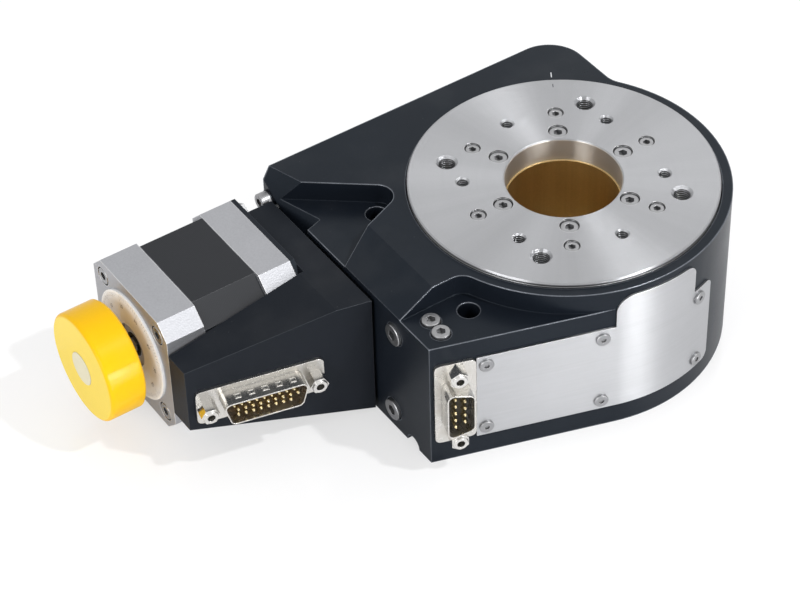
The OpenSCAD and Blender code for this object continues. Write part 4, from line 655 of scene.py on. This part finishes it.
# moulded parts: knob, its cap, the scale ring, insulators, sensor head, spider
mouldedParts = {
    "knob_yellow": {
        "colour": (0.78, 0.44, 0.0008), "face": (0.78, 0.58, 0.065), "roughness": 0.36, "coat": 0.2,
        "specular": 0.06, "texture": 0.015, "edge": (0.92, 0.72, 0.22), "edgeAmount": 0.35,
    },
    "cap_white": {
        "colour": (0.62, 0.57, 0.38), "face": (0.62, 0.57, 0.38), "roughness": 0.30, "coat": 0.25,
        "specular": 0.5, "texture": 0.02, "edge": (0.9, 0.9, 0.9), "edgeAmount": 0.2,
    },
    "scale_white": {
        "colour": (0.88, 0.88, 0.87), "face": (0.88, 0.88, 0.87), "roughness": 0.26, "coat": 0.3,
        "specular": 0.5, "texture": 0.02, "edge": (0.9, 0.9, 0.9), "edgeAmount": 0.2,
    },
    "insulator_brown": {
        "colour": (0.050, 0.028, 0.010), "face": (0.050, 0.028, 0.010), "roughness": 0.42, "coat": 0.0,
        "specular": 0.35, "texture": 0.08, "edge": (0.12, 0.08, 0.04), "edgeAmount": 0.4,
    },
    "insulator_black": {
        "colour": (0.014, 0.012, 0.010), "face": (0.014, 0.012, 0.010), "roughness": 0.40, "coat": 0.0,
        "specular": 0.35, "texture": 0.08, "edge": (0.06, 0.055, 0.05), "edgeAmount": 0.4,
    },
    "sensor_plastic": {
        "colour": (0.018, 0.018, 0.020), "face": (0.018, 0.018, 0.020), "roughness": 0.5, "coat": 0.0,
        "specular": 0.4, "texture": 0.12, "edge": (0.07, 0.07, 0.08), "edgeAmount": 0.4,
    },
    "spider_rubber": {
        "colour": (0.42, 0.020, 0.016), "face": (0.42, 0.020, 0.016), "roughness": 0.55, "coat": 0.0,
        "specular": 0.35, "texture": 0.15, "edge": (0.6, 0.1, 0.09), "edgeAmount": 0.3,
    },
}


def makeMoulded(name, look):
    tree, shader = startMaterial(name)
    grain = place(tree, fineGrain, {"Scale": 1300.0, "Contrast": 0.08})
    edge = place(
        tree, edgeWearAndHighlight,
        {"Width": 0.4 * mm, "Amount": look["edgeAmount"], "Breakup": 0.3, "Rounding": 0.35 * mm},
    )
    haze = place(tree, dust, {"Amount": 0.08, "Scale": 800.0})
    # painted light: surfaces facing -X take the face colour, on the knob lighter than the colour of its sides
    facing = put(tree, "ShaderNodeTexCoord").outputs["Normal"]
    front = alongAxis(tree, facing, (-1, 0, 0))
    base = blendColour(tree, remap(tree, front, 0.9, 0.98), solid(look["colour"]), solid(look["face"]))
    toned = put(tree, "ShaderNodeVectorMath", {0: base, "Scale": grain["Tone"]}, operation="SCALE").outputs[0]
    # painted highlight: a lighter colour along convex edges, together with worn edges
    wearAndHighlight = blendColour(tree, edge["Mask"], toned, solid(look["edge"]))
    setShader(tree, shader, {
        "Base Color": blendColour(tree, haze["Mask"], wearAndHighlight, grey(0.6)),
        "Roughness": calc(tree, "MULTIPLY", grain["Tone"], look["roughness"]),
        "Coat Weight": look["coat"],
        "Coat Roughness": 0.06,
        "Specular IOR Level": look["specular"],
        "Normal": bump(tree, grain["Height"], look["texture"], 0.06 * mm, edge["Normal"]),
    })


for name, look in mouldedParts.items():
    makeMoulded(name, look)

# circuit boards: solder mask over tracks, with tinned pads
boardLook = {
    "mask": (0.008, 0.085, 0.030),
    "track": (0.018, 0.17, 0.055),
    "pad": (0.62, 0.60, 0.54),
    "bareEdge": (0.35, 0.36, 0.18),
    "lanes": 420.0,  # tracks per metre
    "pads": 300.0,
    "padSize": 0.16,  # of the pads' spacing
    "roughness": 0.30,
}


def makeBoard(name, look):
    tree, shader = startMaterial(name)
    spot = put(tree, "ShaderNodeTexCoord").outputs["Object"]
    lanes = put(tree, "ShaderNodeTexVoronoi", {"Vector": spot, "Scale": look["lanes"]}, distance="CHEBYCHEV")
    track = remap(tree, lanes.outputs["Distance"], 0.30, 0.34)
    grid = {"Vector": spot, "Scale": look["pads"], "Randomness": 0.0}
    dots = put(tree, "ShaderNodeTexVoronoi", grid).outputs["Distance"]
    pad = calc(tree, "LESS_THAN", dots, look["padSize"])
    edge = place(tree, edgeWearAndHighlight, {"Width": 0.15 * mm, "Amount": 0.6, "Breakup": 0.2, "Rounding": 0.1 * mm})
    colour = blendColour(tree, track, solid(look["mask"]), solid(look["track"]))
    padded = blendColour(tree, pad, colour, solid(look["pad"]))
    setShader(tree, shader, {
        "Base Color": blendColour(tree, edge["Mask"], padded, solid(look["bareEdge"])),
        "Metallic": pad,
        "Roughness": look["roughness"],
        "Coat Weight": 0.3,
        "Normal": bump(tree, track, 0.2, 0.04 * mm, edge["Normal"]),
    })


makeBoard("board_green", boardLook)

# enamelled wire of the windings
coilLook = {"colour": (0.48, 0.17, 0.055), "gapShade": (0.09, 0.028, 0.010), "wire": 0.45 * mm, "roughness": 0.22}


def makeCoils(name, look):
    tree, shader = startMaterial(name)
    wires = place(tree, threads, {"Axis": (0, 0.7, 0.72), "Pitch": look["wire"]})
    grain = place(tree, fineGrain, {"Scale": 900.0, "Stretch": (0.1, 1, 1), "Contrast": 0.3})
    # painted shade: the copper darkened between the wire turns
    base = blendColour(tree, wires["Height"], solid(look["gapShade"]), solid(look["colour"]))
    setShader(tree, shader, {
        "Base Color": put(
            tree, "ShaderNodeVectorMath", {0: base, "Scale": grain["Tone"]}, operation="SCALE",
        ).outputs[0],
        "Metallic": 0.9,
        "Roughness": look["roughness"],
        "Coat Weight": 0.5,
        "Normal": bump(tree, wires["Height"], 0.8, 0.2 * mm),
    })


makeCoils("coil_copper", coilLook)
print("materials made:", len(finishes))

# each solid's own slots get the finish of the same name
for subpart in frame["record"]["subparts"]:
    finish = finishes[subpart["material_slot"]]
    solidObject = nodes[subpart["node"]]
    if not solidObject.data.materials:
        solidObject.data.materials.append(finish)
    for socket in solidObject.material_slots:
        socket.material = finish
print("finishes laid on the solids")


# ---- added pieces ----
def addStroke(mesh, middle, along, across, length, width, thick):
    # a flat stroke with round ends, lifted off the surface by its own thickness
    lift = along.cross(across).normalized() * thick
    steps = 6  # of each round end
    rim = []
    for end in (1, -1):
        for i in range(steps + 1):
            turn = math.pi * (i / steps - 0.5)
            reach = end * (length / 2 - width / 2 + math.cos(turn) * width / 2)
            side = end * math.sin(turn) * width / 2
            rim.append(middle + along * reach + across * side)
    low = [mesh.verts.new(p) for p in rim]
    high = [mesh.verts.new(p + lift) for p in rim]
    mesh.faces.new(high)
    mesh.faces.new(low[::-1])
    for i in range(len(rim)):
        k = (i + 1) % len(rim)
        mesh.faces.new((low[i], low[k], high[k], high[i]))


def finishPiece(name, mesh, material, body):
    bmesh.ops.recalc_face_normals(mesh, faces=mesh.faces)
    data = bpy.data.meshes.new(name)
    mesh.to_mesh(data)
    mesh.free()
    piece = bpy.data.objects.new(name, data)
    bpy.context.scene.collection.objects.link(piece)
    data.materials.append(material)
    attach(piece, body)
    return piece


inkLook = {"colour": (0.012, 0.012, 0.014), "white": (0.62, 0.63, 0.66), "roughness": 0.45}


def makeInk(name, colour, roughness):
    tree, shader = startMaterial(name)
    grain = place(tree, fineGrain, {"Scale": 5200.0, "Contrast": 0.6})
    setShader(tree, shader, {
        "Base Color": scaled(tree, colour, grain["Tone"]),
        "Roughness": calc(tree, "MULTIPLY", grain["Tone"], roughness),
        "Normal": bump(tree, grain["Height"], 0.08, 0.02 * mm),
    })


makeInk("ink_black", inkLook["colour"], inkLook["roughness"])
makeInk("ink_white", inkLook["white"], inkLook["roughness"])

# graduations and plain numbers of the hand knob's scale
scaleLook = {
    "outer": 16.9 * mm,  # radius where the ticks start
    "marks": 100,  # a longer one every fifth, the longest every tenth
    "lengths": (1.1 * mm, 1.6 * mm, 2.3 * mm),
    "tickWidth": 0.13 * mm,
    "thick": 0.015 * mm,
    "numbers": 10,
    "numberSize": 1.9 * mm,
    "numberRadius": 13.1 * mm,
}


def makeScale(look):
    low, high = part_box("scale_ring")
    centre = Vector((low[0], (low[1] + high[1]) / 2, (low[2] + high[2]) / 2))
    outward = Vector((-1, 0, 0))
    mesh = bmesh.new()
    for i in range(look["marks"]):
        turn = 2 * math.pi * i / look["marks"]
        ray = Vector((0, math.cos(turn), math.sin(turn)))
        across = outward.cross(ray)
        length = look["lengths"][2 if i % 10 == 0 else 1 if i % 5 == 0 else 0]
        middle = centre + ray * (look["outer"] - length / 2)
        addStroke(mesh, middle, ray, -across, length, look["tickWidth"], look["thick"])
    finishPiece("scale_ticks", mesh, finishes["ink_black"], "base")
    numbers = bmesh.new()
    for i in range(look["numbers"]):
        turn = 2 * math.pi * i / look["numbers"]
        ray = Vector((0, math.cos(turn), math.sin(turn)))
        writing = bpy.data.curves.new("number", "FONT")
        writing.body = str(i * look["marks"] // look["numbers"])
        writing.size = look["numberSize"]
        writing.align_x = "CENTER"
        writing.align_y = "CENTER"
        writing.resolution_u = 3
        writer = bpy.data.objects.new("number", writing)
        bpy.context.scene.collection.objects.link(writer)
        bpy.context.view_layer.update()
        drawn = writer.evaluated_get(bpy.context.evaluated_depsgraph_get()).to_mesh()
        right = outward.cross(ray) * -1
        frameOfText = Matrix((right, ray, outward)).transposed()
        start = centre + ray * look["numberRadius"] + outward * look["thick"]
        added = bmesh.new()
        added.from_mesh(drawn)
        corners = {v.index: numbers.verts.new(start + frameOfText @ v.co) for v in added.verts}
        for face in added.faces:
            numbers.faces.new([corners[v.index] for v in face.verts])
        added.free()
        bpy.data.objects.remove(writer)
    finishPiece("scale_numbers", numbers, finishes["ink_black"], "base")


makeScale(scaleLook)

# the row of small pressed dimples along the controller connector's shell
dimpleLook = {
    "count": 5,
    "pitch": 4.2 * mm,
    "half": 0.75 * mm,  # of a dimple's rim
    "slope": 0.25 * mm,
    "rim": 0.10 * mm,  # height of the rim
    "floor": 0.02 * mm,
    "sunk": 0.05 * mm,  # depth of the piece's own underside
    "fromBack": 4.2 * mm,  # from the flange's back
    "frontBand": 0.5 * mm,  # depth at the shell's front in which its upper side is looked for
    "wallTurn": 13.3,  # degrees by which the bracket's front wall stands turned
}


def addDimple(mesh, middle, axes, look):
    outer, inner = look["half"] + look["slope"], look["half"] - look["slope"]
    levels = (
        (outer, -look["sunk"]), (outer, look["floor"]), (look["half"], look["rim"]), (inner, look["floor"]),
    )
    loops = []
    for half, lift in levels:
        corners = [(half, half), (-half, half), (-half, -half), (half, -half)]
        loops.append([mesh.verts.new(middle + axes[0] * a + axes[1] * b + axes[2] * lift) for a, b in corners])
    for low, high in zip(loops, loops[1:]):
        for i in range(4):
            mesh.faces.new((low[i], low[(i + 1) % 4], high[(i + 1) % 4], high[i]))
    mesh.faces.new(loops[0][::-1])
    mesh.faces.new(loops[-1])


def makeDimples(look):
    turn = math.radians(look["wallTurn"])
    along = Vector((math.cos(turn), -math.sin(turn), 0))
    outward = Vector((-math.sin(turn), -math.cos(turn), 0))
    up = Vector((0, 0, 1))
    shell = nodes["controller_shell"]
    low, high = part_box("controller_shell")
    centre = (Vector(low) + Vector(high)) / 2
    points = [shell.matrix_world @ vertex.co for vertex in shell.data.vertices]
    back = min((point - centre).dot(outward) for point in points)
    front = max((point - centre).dot(outward) for point in points)
    tops = [point.z for point in points if (point - centre).dot(outward) > front - look["frontBand"]]
    start = Vector((centre.x, centre.y, max(tops))) + outward * (back + look["fromBack"])
    mesh = bmesh.new()
    for i in range(look["count"]):
        middle = start + along * (i - (look["count"] - 1) / 2) * look["pitch"]
        addDimple(mesh, middle, (along, outward, up), look)
    finishPiece("shell_dimples", mesh, finishes["connector_nickel"], "base")


makeDimples(dimpleLook)

# the zero line cut into the deck beside the platform
zeroLook = {"turn": 57.5, "radius": 50.3 * mm, "length": 2.4 * mm, "width": 0.34 * mm, "thick": 0.02 * mm}


def makeZeroMark(look):
    turn = math.radians(look["turn"])
    ray = Vector((math.cos(turn), math.sin(turn), 0))
    across = Vector((-ray.y, ray.x, 0))
    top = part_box("housing")[1][2]
    mesh = bmesh.new()
    addStroke(
        mesh, ray * look["radius"] + Vector((0, 0, top)), ray, across, look["length"], look["width"],
        look["thick"],
    )
    finishPiece("zero_mark", mesh, finishes["ink_white"], "base")


makeZeroMark(zeroLook)
print("scale and zero mark added")

# ---- floor, light and air ----
stageLook = {
    "floorSize": 6.0,
    "floorGap": 0.02 * mm,  # below the part
    "floorColour": (0.93, 0.93, 0.94),
    "floorRoughness": 0.16,
    "worldLevel": 0.72,
    "floorOwn": 0.55,  # share of the floor's white that shadows don't reach
    "lamps": {
        "key": {"place": (0.50, -0.71, 1.34), "size": 0.06, "power": 11.0},
        "front": {"place": (0.10, -1.15, 0.16), "size": 0.28, "power": 5.6},
        "left": {"place": (-1.15, -0.35, 0.50), "size": 0.6, "power": 6.5},
        "back": {"place": (0.85, 0.77, 0.92), "size": 0.5, "power": 0.8},
    },
    "aim": (-0.03, 0.01, 0.02),
}


def makeStage(look):
    tree, shader = startMaterial("floor_white")
    spot = put(tree, "ShaderNodeTexCoord").outputs["Object"]
    haze = put(tree, "ShaderNodeTexNoise", {"Vector": spot, "Scale": 9.0, "Detail": 4.0}).outputs["Fac"]
    setShader(tree, shader, {
        "Base Color": solid(look["floorColour"]),
        "Roughness": calc(tree, "MULTIPLY_ADD", haze, 0.02, look["floorRoughness"]),
        "Specular IOR Level": 0.9,
    })
    plain = put(tree, "ShaderNodeEmission", {"Color": (1.0, 1.0, 1.0, 1), "Strength": 1.0})
    seenByCamera = put(tree, "ShaderNodeLightPath").outputs["Is Camera Ray"]
    share = calc(tree, "MULTIPLY", seenByCamera, look["floorOwn"])
    mixed = put(tree, "ShaderNodeMixShader", {0: share, 1: shader.outputs[0], 2: plain.outputs[0]})
    output = next(node for node in tree.nodes if node.type == "OUTPUT_MATERIAL")
    tree.links.new(mixed.outputs[0], output.inputs[0])
    mesh = bmesh.new()
    half = look["floorSize"] / 2
    bmesh.ops.create_grid(mesh, x_segments=4, y_segments=4, size=half)
    data = bpy.data.meshes.new("floor")
    mesh.to_mesh(data)
    mesh.free()
    floor = bpy.data.objects.new("floor", data)
    floor.location.z = cadBox[0][2] - look["floorGap"]
    bpy.context.scene.collection.objects.link(floor)
    data.materials.append(finishes["floor_white"])

    world = bpy.data.worlds.new("air")
    bpy.context.scene.world = world
    world.use_nodes = True
    air = world.node_tree
    air.nodes.clear()
    path = put(air, "ShaderNodeLightPath").outputs
    mirrored = calc(air, "MAXIMUM", path["Is Glossy Ray"], path["Is Transmission Ray"])
    seen = calc(air, "MAXIMUM", path["Is Camera Ray"], mirrored)
    level = calc(air, "MULTIPLY_ADD", seen, 1.0 - look["worldLevel"], look["worldLevel"])
    sky = put(air, "ShaderNodeBackground", {"Color": grey(1.0), "Strength": level})
    end = put(air, "ShaderNodeOutputWorld")
    air.links.new(sky.outputs[0], end.inputs[0])

    for name, lamp in look["lamps"].items():
        light = bpy.data.lights.new("lamp_" + name, "AREA")
        light.shape = "SQUARE"
        light.size = lamp["size"]
        light.energy = lamp["power"]
        holder = bpy.data.objects.new("lamp_" + name, light)
        spot = Vector(lamp["place"])
        turned = (spot - Vector(look["aim"])).to_track_quat("Z", "Y").to_matrix().to_4x4()
        holder.matrix_world = Matrix.Translation(spot) @ turned
        bpy.context.scene.collection.objects.link(holder)


makeStage(stageLook)
bpy.context.scene.view_settings.view_transform = "Standard"
print("stage and light set")
